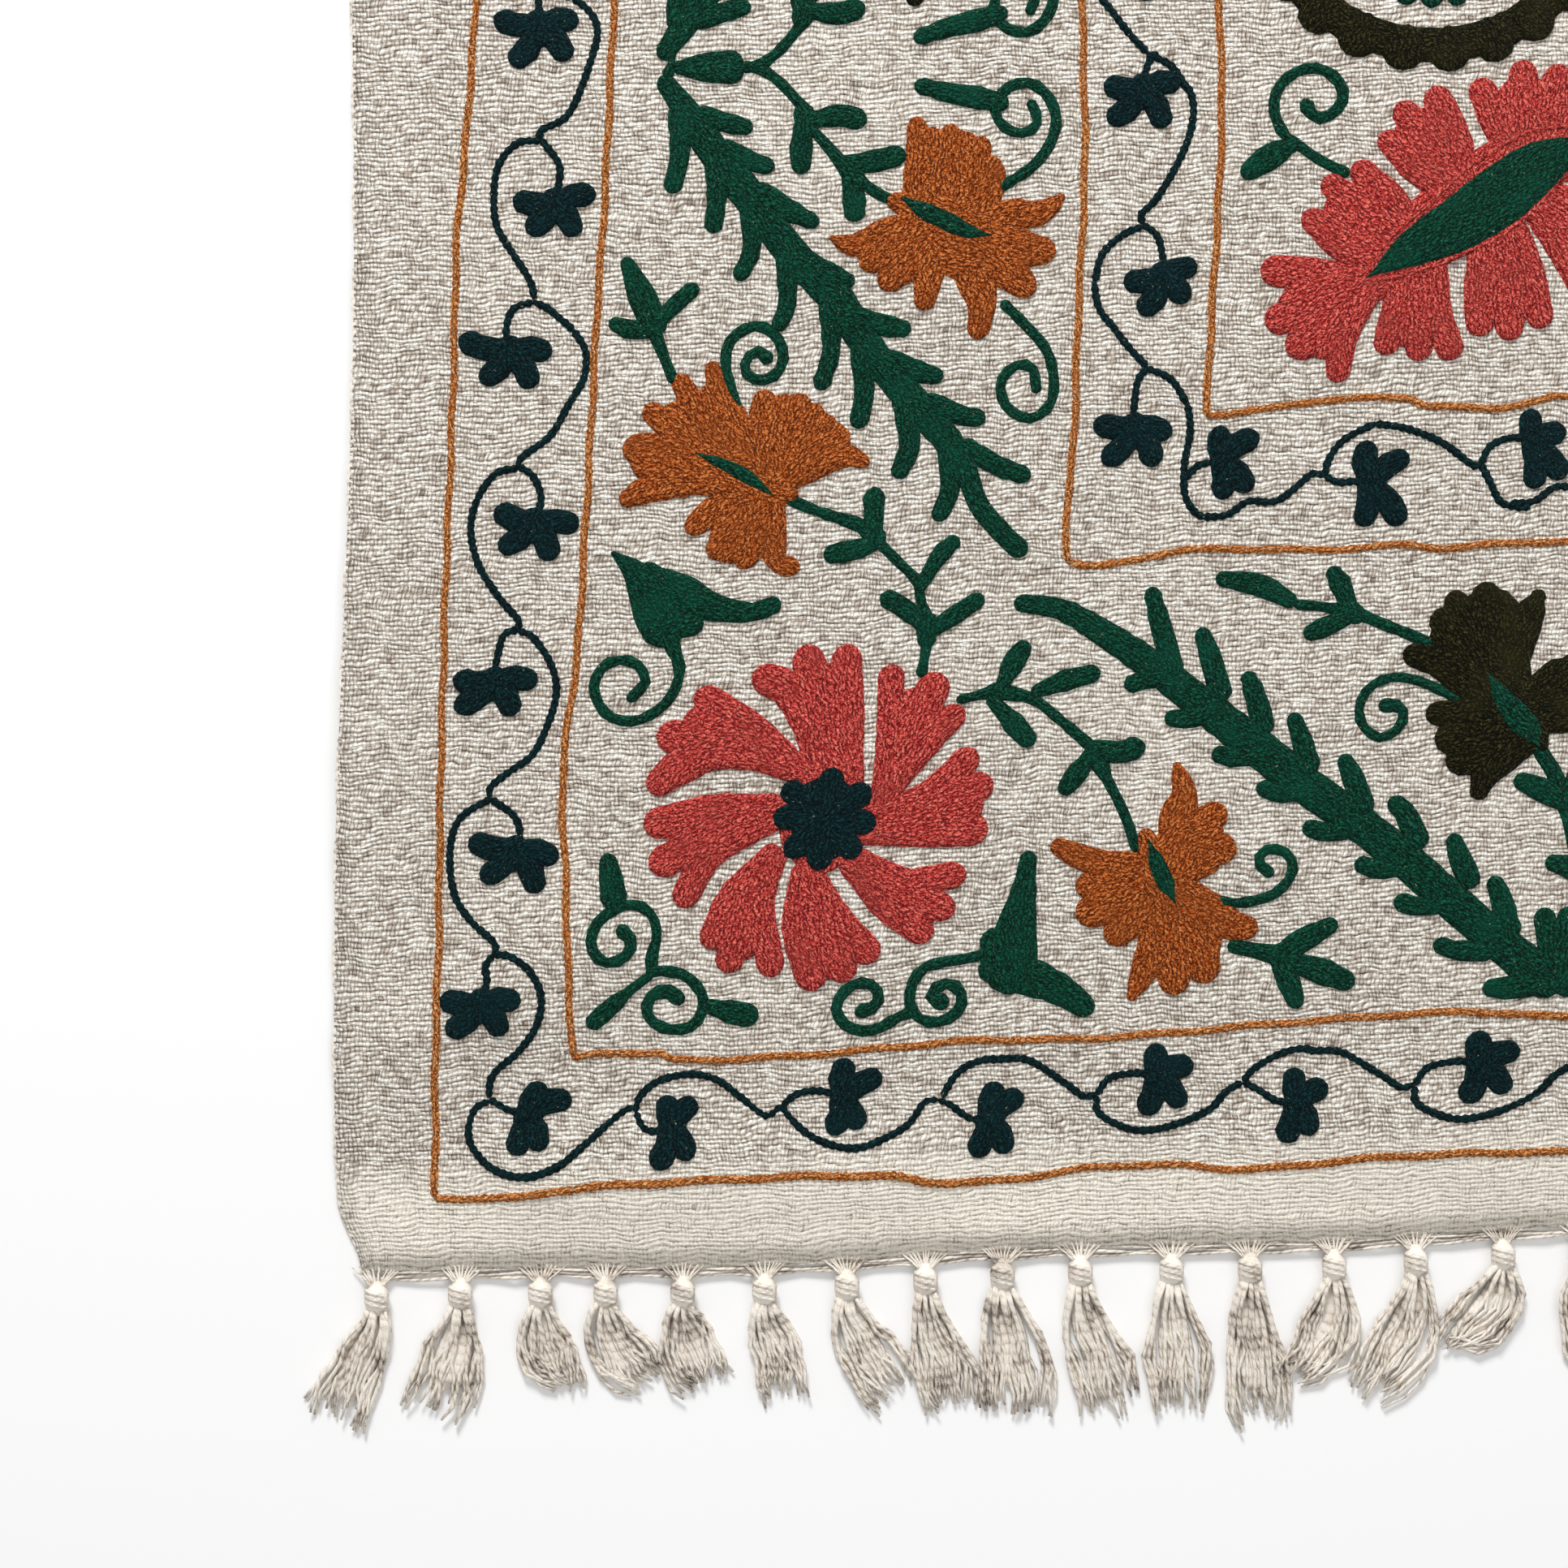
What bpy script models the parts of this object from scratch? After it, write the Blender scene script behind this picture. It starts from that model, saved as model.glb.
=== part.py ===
"""Square embroidered cotton cover with knotted tassels along its front and back hems.

The cover lies face up on a flat surface. Metres, +Z up, +Y from the front hem to the back hem.
The origin is on the surface, under the middle of the cloth. The warp ends of the cloth are
knotted into the tassels, so each fringe is one piece: a narrow edge strip, its knots and locks.
"""

import math

import bmesh
import bpy
from mathutils import Vector

MM = 0.001

# Cloth, as woven
WIDTH = 1000 * MM
LENGTH = 1000 * MM
CLOTH_THICK = 1.5 * MM

# How far the middle of each edge is drawn in from a straight line between the corners
SELVEDGE_BOW = 4.4 * MM
HEM_BOW = 15.0 * MM
HEM_BOW_POWER = 1.5

# The end tassels draw the corners in
CORNER_DRAW = 6.6 * MM
CORNER_REACH = 32 * MM

# Soft unevenness of the edges
SELVEDGE_WAVE = -1.6 * MM
SELVEDGE_WAVES = 3
HEM_WAVE = 0.7 * MM
HEM_WAVES = 7

# Fringe
TASSELS = 49
END_TASSEL_INSET = 10.3 * MM
STRIP_GAP = 0.3 * MM
STRIP_WIDTH = 2.2 * MM
STRIP_THICK = 1.5 * MM
ROOT_WIDTH = 3.6 * MM
LOCKS = 3

# Sections of a knot: how far past the edge strip, how wide, how high
KNOT_SECTIONS = (
    {"reach": 0.7 * MM, "width": 3.8 * MM, "height": 2.6 * MM},
    {"reach": 2.4 * MM, "width": 6.2 * MM, "height": 4.6 * MM},
    {"reach": 5.4 * MM, "width": 6.0 * MM, "height": 4.6 * MM},
    {"reach": 7.2 * MM, "width": 4.8 * MM, "height": 3.2 * MM},
)

# Sections of a lock: share of the tassel's length, side step from the tassel's middle, size
LOCK_SECTIONS = (
    {"share": 0.42, "step": 4.5 * MM, "width": 4.1 * MM, "height": 4.0 * MM},
    {"share": 1.00, "step": 5.4 * MM, "width": 2.8 * MM, "height": 1.6 * MM},
)

# The first front tassels: place from the left end of the hem, lean to the right, length
FRONT_TASSELS = (
    {"place": 10.3 * MM, "lean": -27, "length": 38 * MM},
    {"place": 31.6 * MM, "lean": -9, "length": 34 * MM},
    {"place": 52.0 * MM, "lean": -1, "length": 30 * MM},
    {"place": 68.6 * MM, "lean": 16, "length": 31 * MM},
    {"place": 88.2 * MM, "lean": 13, "length": 28 * MM},
    {"place": 109.0 * MM, "lean": 17, "length": 31 * MM},
    {"place": 130.0 * MM, "lean": 26, "length": 35 * MM},
    {"place": 150.0 * MM, "lean": 20, "length": 38 * MM},
    {"place": 169.6 * MM, "lean": 13, "length": 39 * MM},
    {"place": 189.4 * MM, "lean": 16, "length": 40 * MM},
    {"place": 212.6 * MM, "lean": 8, "length": 38 * MM},
    {"place": 232.6 * MM, "lean": 2, "length": 43 * MM},
    {"place": 254.0 * MM, "lean": 3, "length": 36 * MM},
    {"place": 274.8 * MM, "lean": -8, "length": 40 * MM},
    {"place": 297.0 * MM, "lean": -9, "length": 34 * MM},
)

# Soft ridges that the cloth keeps where it isn't pressed flat: ends, half width, height
RIDGES = (
    {"start": (-0.497, -0.420), "end": (-0.476, -0.060), "half": 0.024, "height": 3.0 * MM},
    {"start": (-0.470, -0.478), "end": (-0.330, -0.474), "half": 0.020, "height": 3.6 * MM},
    {"start": (-0.500, -0.452), "end": (-0.420, -0.410), "half": 0.024, "height": 2.6 * MM},
    {"start": (-0.285, -0.470), "end": (-0.120, -0.462), "half": 0.024, "height": 2.8 * MM},
    {"start": (-0.180, -0.480), "end": (-0.235, -0.150), "half": 0.045, "height": 3.2 * MM},
    {"start": (0.020, -0.475), "end": (0.150, -0.080), "half": 0.060, "height": 5.0 * MM},
    {"start": (0.470, -0.380), "end": (0.300, 0.060), "half": 0.060, "height": 4.6 * MM},
    {"start": (0.480, 0.120), "end": (0.488, 0.400), "half": 0.030, "height": 3.6 * MM},
    {"start": (-0.490, 0.060), "end": (-0.330, 0.330), "half": 0.060, "height": 4.4 * MM},
    {"start": (-0.090, 0.200), "end": (0.060, 0.470), "half": 0.060, "height": 4.8 * MM},
    {"start": (0.240, 0.300), "end": (0.360, 0.478), "half": 0.045, "height": 3.4 * MM},
    {"start": (-0.360, 0.474), "end": (-0.180, 0.478), "half": 0.020, "height": 3.0 * MM},
)
HEM_HOLD = 12 * MM

# Lines of the cloth's grid from an edge to the middle, in mm, closer together near the edge
EDGE_LINES = (0, 5, 11, 18, 26, 35, 46, 60, 77, 97, 120, 145, 172, 201, 232, 265, 299, 337, 377)
MIDDLE_LINES = (418, 459, 500)

COTTON = (0.80, 0.76, 0.69, 1.0)
FRINGE_COTTON = (0.78, 0.74, 0.67, 1.0)


def smooth(t):
    """Eases from 0 to 1 as t does."""
    t = min(1.0, max(0.0, t))
    return t * t * (3 - 2 * t)


def grid_lines():
    """Distances of the cloth's grid lines from one edge to the other, the same both ways."""
    near = [line * MM for line in EDGE_LINES + MIDDLE_LINES]
    return near + [WIDTH - line for line in reversed(near[:-1])]


def corner_pull(along, across):
    """How far a corner is drawn in, at a distance along the hem and in from the hem."""
    near_selvedge = max(0.0, 1 - along / CORNER_REACH)
    near_hem = 1 - smooth(across / CORNER_REACH)
    return CORNER_DRAW * near_selvedge**2 * near_hem


def plan_point(u, v):
    """Where the woven point (u from the left selvedge, v from the front hem) lies in plan."""
    left_to_right = math.cos(math.pi * u / WIDTH)
    front_to_back = math.cos(math.pi * v / LENGTH)
    inwards = SELVEDGE_BOW * math.sin(math.pi * v / LENGTH)
    inwards += SELVEDGE_WAVE * math.sin(math.tau * SELVEDGE_WAVES * v / LENGTH) * smooth(v / 0.05)
    upwards = HEM_BOW * math.sin(math.pi * u / WIDTH) ** HEM_BOW_POWER
    upwards += HEM_WAVE * math.sin(math.tau * HEM_WAVES * u / WIDTH)
    from_hem = min(v, LENGTH - v)
    pull = corner_pull(u, from_hem) - corner_pull(WIDTH - u, from_hem)
    x = u - WIDTH / 2 + inwards * left_to_right + pull
    y = v - LENGTH / 2 + upwards * front_to_back
    return x, y


def ridge_rise(x, y, ridge):
    """Height that one soft ridge gives the cloth at a point."""
    start, end, here = Vector(ridge["start"]), Vector(ridge["end"]), Vector((x, y))
    run = end - start
    share = min(1.0, max(0.0, (here - start).dot(run) / run.length_squared))
    away = (here - start - run * share).length / ridge["half"]
    if away >= 1:
        return 0.0
    ends = smooth(4 * share + 0.25) * smooth(4 * (1 - share) + 0.25)
    return ridge["height"] * ends * math.cos(away * math.pi / 2) ** 2


def underside(x, y, from_hem):
    """Height of the cloth's underside over the surface. It lies on it at the hems."""
    held = smooth((from_hem - 2 * MM) / HEM_HOLD)
    return held * max(ridge_rise(x, y, ridge) for ridge in RIDGES)


def cloth_point(u, v):
    x, y = plan_point(u, v)
    return Vector((x, y, underside(x, y, min(v, LENGTH - v))))


def make_material(name, colour, roughness):
    material = bpy.data.materials.new(name)
    material.use_nodes = True
    shader = material.node_tree.nodes["Principled BSDF"]
    shader.inputs["Base Color"].default_value = colour
    shader.inputs["Roughness"].default_value = roughness
    shader.inputs["Metallic"].default_value = 0.0
    return material


def add_object(name, bm, material):
    bmesh.ops.recalc_face_normals(bm, faces=bm.faces)
    mesh = bpy.data.meshes.new(name)
    bm.to_mesh(mesh)
    bm.free()
    mesh.materials.append(material)
    piece = bpy.data.objects.new(name, mesh)
    bpy.context.scene.collection.objects.link(piece)
    return piece


def thicken_upwards(bm, thickness):
    """Gives a flat net of faces a straight thickness over it."""
    lifted = bmesh.ops.extrude_face_region(bm, geom=bm.faces[:])
    points = [item for item in lifted["geom"] if isinstance(item, bmesh.types.BMVert)]
    bmesh.ops.translate(bm, verts=points, vec=(0, 0, thickness))


def make_cloth(material):
    """The ground cloth: one woven sheet with its plain selvedges."""
    lines = grid_lines()
    spaces = len(lines) - 1
    bm = bmesh.new()
    bmesh.ops.create_grid(bm, x_segments=spaces, y_segments=spaces, size=0.5)
    for vert in bm.verts:
        column = round((vert.co.x + 0.5) * spaces)
        row = round((vert.co.y + 0.5) * spaces)
        vert.co = cloth_point(lines[column], lines[row])
    bmesh.ops.triangulate(bm, faces=bm.faces[:])
    thicken_upwards(bm, CLOTH_THICK)
    return add_object("ground_cloth", bm, material)


def hem_line(v):
    """The hem's own corner points, as the cloth's grid has them."""
    return [cloth_point(u, v) for u in grid_lines()]


def hem_height(line, x):
    """Where the hem lies at x, read along its straight runs."""
    for left, right in zip(line, line[1:]):
        if x <= right.x:
            share = (x - left.x) / (right.x - left.x)
            return left.y + share * (right.y - left.y)
    return line[-1].y


def tassel_table(front):
    """Place, lean and length of every tassel on a hem. The front left ones lie as listed."""
    listed = list(FRONT_TASSELS) if front else []
    start = listed[-1]["place"] if front else END_TASSEL_INSET
    count = TASSELS - len(listed)
    pitch = (WIDTH - END_TASSEL_INSET - start) / (count if front else count - 1)
    shift = 0.0 if front else 9.0
    for index in range(count):
        wave = 0.45 * (index + len(listed)) + shift
        place = start + pitch * (index + 1 if front else index)
        place += 0.9 * MM * math.sin(2.7 * index + shift) * (0 < index < count - 1)
        lean = 8 * math.sin(wave) + 2.5 * math.sin(2.4 * wave + 2)
        length = (37 + 3.5 * math.sin(4.7 * wave)) * MM
        listed.append({"place": place, "lean": lean, "length": length})
    return listed


def pull_face(bm, face, centre, heading, width, height):
    """Extrudes a four-sided face into a new section, flat on the surface, and returns its end."""
    side = Vector((-heading.y, heading.x, 0))
    middle = face.calc_center_median()
    end = bmesh.ops.extrude_discrete_faces(bm, faces=[face])["faces"][0]
    for vert in end.verts:
        offset = vert.co - middle
        half = width / 2 if offset.dot(side) > 0 else -width / 2
        level = height if offset.z > 0 else 0.0
        vert.co = Vector((centre.x, centre.y, level)) + side * half
    return end


def split_in_locks(bm, face, plane_y):
    """Divides a knot's end face side by side, and returns the faces from left to right."""
    corners = list(face.verts)
    middle = face.calc_center_median()
    reach = max((vert.co - middle).length for vert in corners)
    level_edges = [e for e in face.edges if abs(e.verts[0].co.z - e.verts[1].co.z) < 1e-7]
    bmesh.ops.subdivide_edges(bm, edges=level_edges, cuts=LOCKS - 1)
    ends = [
        part
        for part in bm.faces
        if all(abs(v.co.y - plane_y) < 1e-7 and (v.co - middle).length < 1.01 * reach
               for v in part.verts)
    ]
    return sorted(ends, key=lambda part: part.calc_center_median().x)


def add_tassel(bm, root, outwards, lean, length):
    """Grows a knot and its locks from one face on the edge strip's outer side."""
    start = root.calc_center_median()
    straight = Vector((0, outwards, 0))
    face = root
    for section in KNOT_SECTIONS:
        centre = start + straight * section["reach"]
        face = pull_face(bm, face, centre, straight, section["width"], section["height"])
    knot_end = start + straight * KNOT_SECTIONS[-1]["reach"]
    turn = math.radians(lean)
    leaning = Vector((math.sin(turn), outwards * math.cos(turn), 0))
    rightwards = Vector((math.cos(turn), -outwards * math.sin(turn), 0))
    for place, lock in enumerate(split_in_locks(bm, face, knot_end.y)):
        steps = place - (LOCKS - 1) / 2
        for section in LOCK_SECTIONS:
            forwards = (length - KNOT_SECTIONS[-1]["reach"]) * section["share"]
            centre = knot_end + leaning * forwards + rightwards * steps * section["step"]
            lock = pull_face(bm, lock, centre, leaning, section["width"], section["height"])


def make_fringe(name, v, outwards, material):
    """One hem's fringe: the knotted edge strip with every tassel on it."""
    line = hem_line(v)
    tassels = tassel_table(outwards < 0)
    roots = [tassel["place"] - WIDTH / 2 for tassel in tassels]
    columns = [line[0].x]
    for x in roots:
        columns += [x - ROOT_WIDTH / 2, x + ROOT_WIDTH / 2]
    columns.append(line[-1].x)
    bm = bmesh.new()
    bmesh.ops.create_grid(bm, x_segments=len(columns) - 1, y_segments=1, size=0.5)
    for vert in bm.verts:
        x = columns[round((vert.co.x + 0.5) * (len(columns) - 1))]
        outer = (vert.co.y > 0) == (outwards > 0)
        reach = STRIP_GAP + (STRIP_WIDTH if outer else 0.0)
        vert.co = Vector((x, hem_height(line, x) + outwards * reach, 0))
    thicken_upwards(bm, STRIP_THICK)
    bmesh.ops.recalc_face_normals(bm, faces=bm.faces)
    outer = [face for face in bm.faces if face.normal.y * outwards > 0.9]
    outer.sort(key=lambda face: face.calc_center_median().x)
    for tassel, root in zip(tassels, outer[1::2]):
        add_tassel(bm, root, outwards, tassel["lean"], tassel["length"])
    return add_object(name, bm, material)


def main():
    for old in list(bpy.data.objects):
        bpy.data.objects.remove(old)
    cotton = make_material("natural_cotton", COTTON, 0.95)
    fringe_cotton = make_material("fringe_cotton", FRINGE_COTTON, 0.95)
    make_cloth(cotton)
    make_fringe("front_fringe", 0.0, -1, fringe_cotton)
    make_fringe("back_fringe", LENGTH, 1, fringe_cotton)


main()
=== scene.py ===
import math

import bmesh
import bpy
import numpy as np
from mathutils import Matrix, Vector


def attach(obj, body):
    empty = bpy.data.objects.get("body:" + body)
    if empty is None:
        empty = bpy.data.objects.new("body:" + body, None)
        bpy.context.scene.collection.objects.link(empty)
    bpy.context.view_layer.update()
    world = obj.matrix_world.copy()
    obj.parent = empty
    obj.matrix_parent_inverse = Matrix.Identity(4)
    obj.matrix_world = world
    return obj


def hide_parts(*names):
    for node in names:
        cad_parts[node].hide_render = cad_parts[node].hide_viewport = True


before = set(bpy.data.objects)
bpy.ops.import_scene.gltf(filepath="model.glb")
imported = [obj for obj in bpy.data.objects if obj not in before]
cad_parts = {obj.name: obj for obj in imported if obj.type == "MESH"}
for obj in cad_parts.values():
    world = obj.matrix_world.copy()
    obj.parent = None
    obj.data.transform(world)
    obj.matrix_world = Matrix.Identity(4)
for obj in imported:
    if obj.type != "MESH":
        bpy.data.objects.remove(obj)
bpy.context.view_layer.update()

MM = 0.001

# Cloth, as woven and as it lies: the same sizes as in the part, but for corners that turn in a little later
WIDTH = LENGTH = 1000 * MM
CLOTH_THICK = 1.5 * MM
SELVEDGE_BOW = 4.4 * MM
HEM_BOW = 15.0 * MM
HEM_BOW_POWER = 1.5
CORNER_DRAW = 6.6 * MM
CORNER_REACH = 20 * MM
SELVEDGE_WAVE = -1.6 * MM
SELVEDGE_WAVES = 3
HEM_WAVE = 0.7 * MM
HEM_WAVES = 7
HEM_HOLD = 12 * MM
RIDGES = (
    {"start": (-0.497, -0.420), "end": (-0.476, -0.060), "half": 0.024, "height": 3.0 * MM},
    {"start": (-0.470, -0.478), "end": (-0.330, -0.474), "half": 0.020, "height": 3.6 * MM},
    {"start": (-0.500, -0.452), "end": (-0.420, -0.410), "half": 0.024, "height": 2.6 * MM},
    {"start": (-0.285, -0.470), "end": (-0.120, -0.462), "half": 0.024, "height": 2.8 * MM},
    {"start": (-0.180, -0.480), "end": (-0.235, -0.150), "half": 0.045, "height": 3.2 * MM},
    {"start": (0.020, -0.475), "end": (0.150, -0.080), "half": 0.060, "height": 5.0 * MM},
    {"start": (0.470, -0.380), "end": (0.300, 0.060), "half": 0.060, "height": 4.6 * MM},
    {"start": (0.480, 0.120), "end": (0.488, 0.400), "half": 0.030, "height": 3.6 * MM},
    {"start": (-0.490, 0.060), "end": (-0.330, 0.330), "half": 0.060, "height": 4.4 * MM},
    {"start": (-0.090, 0.200), "end": (0.060, 0.470), "half": 0.060, "height": 4.8 * MM},
    {"start": (0.240, 0.300), "end": (0.360, 0.478), "half": 0.045, "height": 3.4 * MM},
    {"start": (-0.360, 0.474), "end": (-0.180, 0.478), "half": 0.020, "height": 3.0 * MM},
)

# One pixel of the photo on the cloth, and where the front left corner would lie if it were square
PHOTO_PIXEL = 0.2066 * MM
PHOTO_CORNER = (415, 1570)
MEDALLION_IN_PHOTO = (1768, -150)

# Where the camera hangs, the width that it shows, and how far the cloth's own height raises it
CAMERA_OVER = (-0.386, -0.375)
SHOWN_WIDTH = 399 * MM
CAMERA_RAISE = 2.5 * MM
LENS = 60
SENSOR = 36

# Threads of the weave and stitches of the yarn
WARP_PITCH = 1.02 * MM
WEFT_PITCH = 1.28 * MM
STITCH = 2.0 * MM
FILL_STITCH = 1.7 * MM
ROW_PITCH = 1.2 * MM
PLY_LENGTH = 2.6 * MM

# Cells of the sheet along each side, of a blade and of a line across their width, and a blade's step
SHEET_CELLS = 140
BLADE_CELLS = 6
CORD_CELLS = 3
STEP = 2.5 * MM

# Heights of the sewing, how far its foot goes into the sheet, and widths of the lines
BLADE_HIGH = 1.0 * MM
LINE_HIGH = 0.95 * MM
FOOT = 0.15 * MM
ON_PETALS = 0.5 * MM
SLIT_LEVEL = 0.45 * MM
GUARD_WIDTH = 2.35 * MM
VINE_WIDTH = 2.3 * MM
EDGE_WIDTH = 1.8 * MM
STEM_SWELL = 1.15

# A guard leaf: widths along each lobe, the length that its round end takes, and the width of its middle
LOBE_WIDTHS = (5.6 * MM, 6.7 * MM, 6.4 * MM)
LOBE_END = 3.1 * MM
LEAF_MIDDLE = 7.6 * MM

# The ground sheet in the picture is thinner than the solid it stands in for
SHEET_THICK = 0.7 * MM
SHEET_LIFT = 0.5 * MM
SHEET_TOP = SHEET_LIFT + SHEET_THICK


def smooth(t):
    """Eases from 0 to 1 as t does."""
    t = np.clip(t, 0.0, 1.0)
    return t * t * (3 - 2 * t)


def corner_pull(along, across):
    """How far a corner is drawn in, at a distance along the hem and in from the hem."""
    near_selvedge = np.maximum(0.0, 1 - along / CORNER_REACH)
    near_hem = 1 - smooth(across / CORNER_REACH)
    return CORNER_DRAW * near_selvedge**2 * near_hem


def plan(u, v):
    """Where the woven points (u from the left selvedge, v from the front hem) lie in plan."""
    left_to_right = np.cos(np.pi * u / WIDTH)
    front_to_back = np.cos(np.pi * v / LENGTH)
    inwards = SELVEDGE_BOW * np.sin(np.pi * v / LENGTH)
    inwards = inwards + SELVEDGE_WAVE * np.sin(2 * np.pi * SELVEDGE_WAVES * v / LENGTH) * smooth(v / 0.05)
    upwards = HEM_BOW * np.maximum(0.0, np.sin(np.pi * u / WIDTH)) ** HEM_BOW_POWER
    upwards = upwards + HEM_WAVE * np.sin(2 * np.pi * HEM_WAVES * u / WIDTH)
    from_hem = np.minimum(v, LENGTH - v)
    pull = corner_pull(u, from_hem) - corner_pull(WIDTH - u, from_hem)
    return u - WIDTH / 2 + inwards * left_to_right + pull, v - LENGTH / 2 + upwards * front_to_back


def from_photo(points):
    """Woven places, in metres, of points that are listed as (right, down, width) in the photo."""
    points = np.asarray(points, dtype=float)
    x = (points[:, 0] - PHOTO_CORNER[0]) * PHOTO_PIXEL - WIDTH / 2
    y = (PHOTO_CORNER[1] - points[:, 1]) * PHOTO_PIXEL - LENGTH / 2
    u, v = x + WIDTH / 2, y + LENGTH / 2
    for _ in range(12):
        laid_x, laid_y = plan(u, v)
        u, v = u + x - laid_x, v + y - laid_y
    return np.column_stack((u, v, points[:, 2:] * PHOTO_PIXEL))


def underside(x, y, from_hem):
    """Height of the cloth's underside over the surface that it lies on."""
    rise = np.zeros_like(x)
    for ridge in RIDGES:
        (x0, y0), (x1, y1) = ridge["start"], ridge["end"]
        run_x, run_y = x1 - x0, y1 - y0
        share = ((x - x0) * run_x + (y - y0) * run_y) / (run_x**2 + run_y**2)
        share = np.clip(share, 0.0, 1.0)
        away = np.hypot(x - x0 - run_x * share, y - y0 - run_y * share) / ridge["half"]
        ends = smooth(4 * share + 0.25) * smooth(4 * (1 - share) + 0.25)
        here = ridge["height"] * ends * np.cos(np.minimum(away, 1.0) * np.pi / 2) ** 2
        rise = np.maximum(rise, here)
    return smooth((from_hem - 2 * MM) / HEM_HOLD) * rise


def lay(points, lift):
    """Woven points (u, v, relief) as they lie, raised by lift over the cloth's underside."""
    u, v = points[:, 0], points[:, 1]
    x, y = plan(u, v)
    z = underside(x, y, np.minimum(v, LENGTH - v)) + lift + points[:, 2]
    return np.stack((x, y, z), axis=1)


def coordinates(mesh):
    """The mesh's points as an array."""
    flat = np.empty(len(mesh.vertices) * 3)
    mesh.vertices.foreach_get("co", flat)
    return flat.reshape(-1, 3)


def set_coordinates(mesh, points):
    """Moves the mesh's points to those of the array."""
    mesh.vertices.foreach_set("co", np.asarray(points, dtype=float).reshape(-1))
    mesh.update()


def add_object(name, mesh, material):
    """Puts a finished mesh in the scene."""
    piece = bpy.data.objects.new(name, mesh)
    bpy.context.scene.collection.objects.link(piece)
    mesh.materials.clear()
    mesh.materials.append(material)
    mesh.polygons.foreach_set("use_smooth", [True] * len(mesh.polygons))
    return piece


class Shader:
    """Short names for the nodes of one material."""

    def __init__(self, name, rough=0.9, sheen=0.0, ior=1.45, specular=0.3):
        self.material = bpy.data.materials.new(name)
        self.material.use_nodes = True
        self.tree = self.material.node_tree
        self.surface = self.tree.nodes["Principled BSDF"]
        for socket, value in (
            ("Roughness", rough),
            ("Sheen Weight", sheen),
            ("IOR", ior),
            ("Specular IOR Level", specular),
        ):
            self.surface.inputs[socket].default_value = value

    def node(self, kind, **settings):
        """A new node of a kind."""
        made = self.tree.nodes.new(kind)
        for key, value in settings.items():
            setattr(made, key, value)
        return made

    def feed(self, socket, value):
        """Links a socket to another, or sets its value."""
        if isinstance(value, bpy.types.NodeSocket):
            self.tree.links.new(value, socket)
        else:
            socket.default_value = value

    def math(self, operation, *values, clamp=False):
        """One step of arithmetic."""
        made = self.node("ShaderNodeMath", operation=operation, use_clamp=clamp)
        for socket, value in zip(made.inputs, values):
            self.feed(socket, value)
        return made.outputs[0]

    def noise(self, vector, scale, detail=2.0, rough=0.5):
        """Soft noise from 0 to 1."""
        made = self.node("ShaderNodeTexNoise")
        self.feed(made.inputs["Vector"], vector)
        for socket, value in (("Scale", scale), ("Detail", detail), ("Roughness", rough)):
            made.inputs[socket].default_value = value
        return made.outputs["Fac"]

    def stretch(self, vector, x, y, z=1.0):
        """A place with each of its parts scaled."""
        made = self.node("ShaderNodeMapping")
        self.feed(made.inputs["Vector"], vector)
        made.inputs["Scale"].default_value = (x, y, z)
        return made.outputs[0]

    def ramp(self, value, *stops):
        """A colour for a value, from stops of (value, colour)."""
        made = self.node("ShaderNodeValToRGB")
        self.feed(made.inputs[0], value)
        elements = made.color_ramp.elements
        while len(elements) < len(stops):
            elements.new(0.5)
        for element, (place, colour) in zip(elements, stops):
            element.position = place
            element.color = tint(colour)
        return made.outputs[0]

    def mix(self, share, first, second):
        """Two colours mixed, with a share of the second."""
        made = self.node("ShaderNodeMix", data_type="RGBA")
        self.feed(made.inputs["Factor"], share)
        self.feed(made.inputs[6], first)
        self.feed(made.inputs[7], second)
        return made.outputs[2]

    def join(self, x, y):
        """A place from its two parts."""
        made = self.node("ShaderNodeCombineXYZ")
        self.feed(made.inputs[0], x)
        self.feed(made.inputs[1], y)
        return made.outputs[0]

    def place(self, name=None):
        """The place on a uv map, or in the piece's own space."""
        if name is None:
            return self.node("ShaderNodeTexCoord").outputs["Object"]
        return self.node("ShaderNodeUVMap", uv_map=name).outputs[0]

    def split(self, vector):
        """The three parts of a place."""
        made = self.node("ShaderNodeSeparateXYZ")
        self.feed(made.inputs[0], vector)
        return made.outputs

    def finish(self, colour, height=None, distance=0.001, strength=1.0):
        """Sets the colour and the bump, and returns the material."""
        self.feed(self.surface.inputs["Base Color"], colour)
        if height is not None:
            made = self.node("ShaderNodeBump")
            made.inputs["Distance"].default_value = distance
            made.inputs["Strength"].default_value = strength
            self.feed(made.inputs["Height"], height)
            self.feed(self.surface.inputs["Normal"], made.outputs[0])
        return self.material


def tint(colour):
    """An sRGB colour in 0 to 255 as linear light."""
    light = [c / 255 / 12.92 if c < 10 else ((c / 255 + 0.055) / 1.055) ** 2.4 for c in colour]
    return (*light, 1.0)


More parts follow.
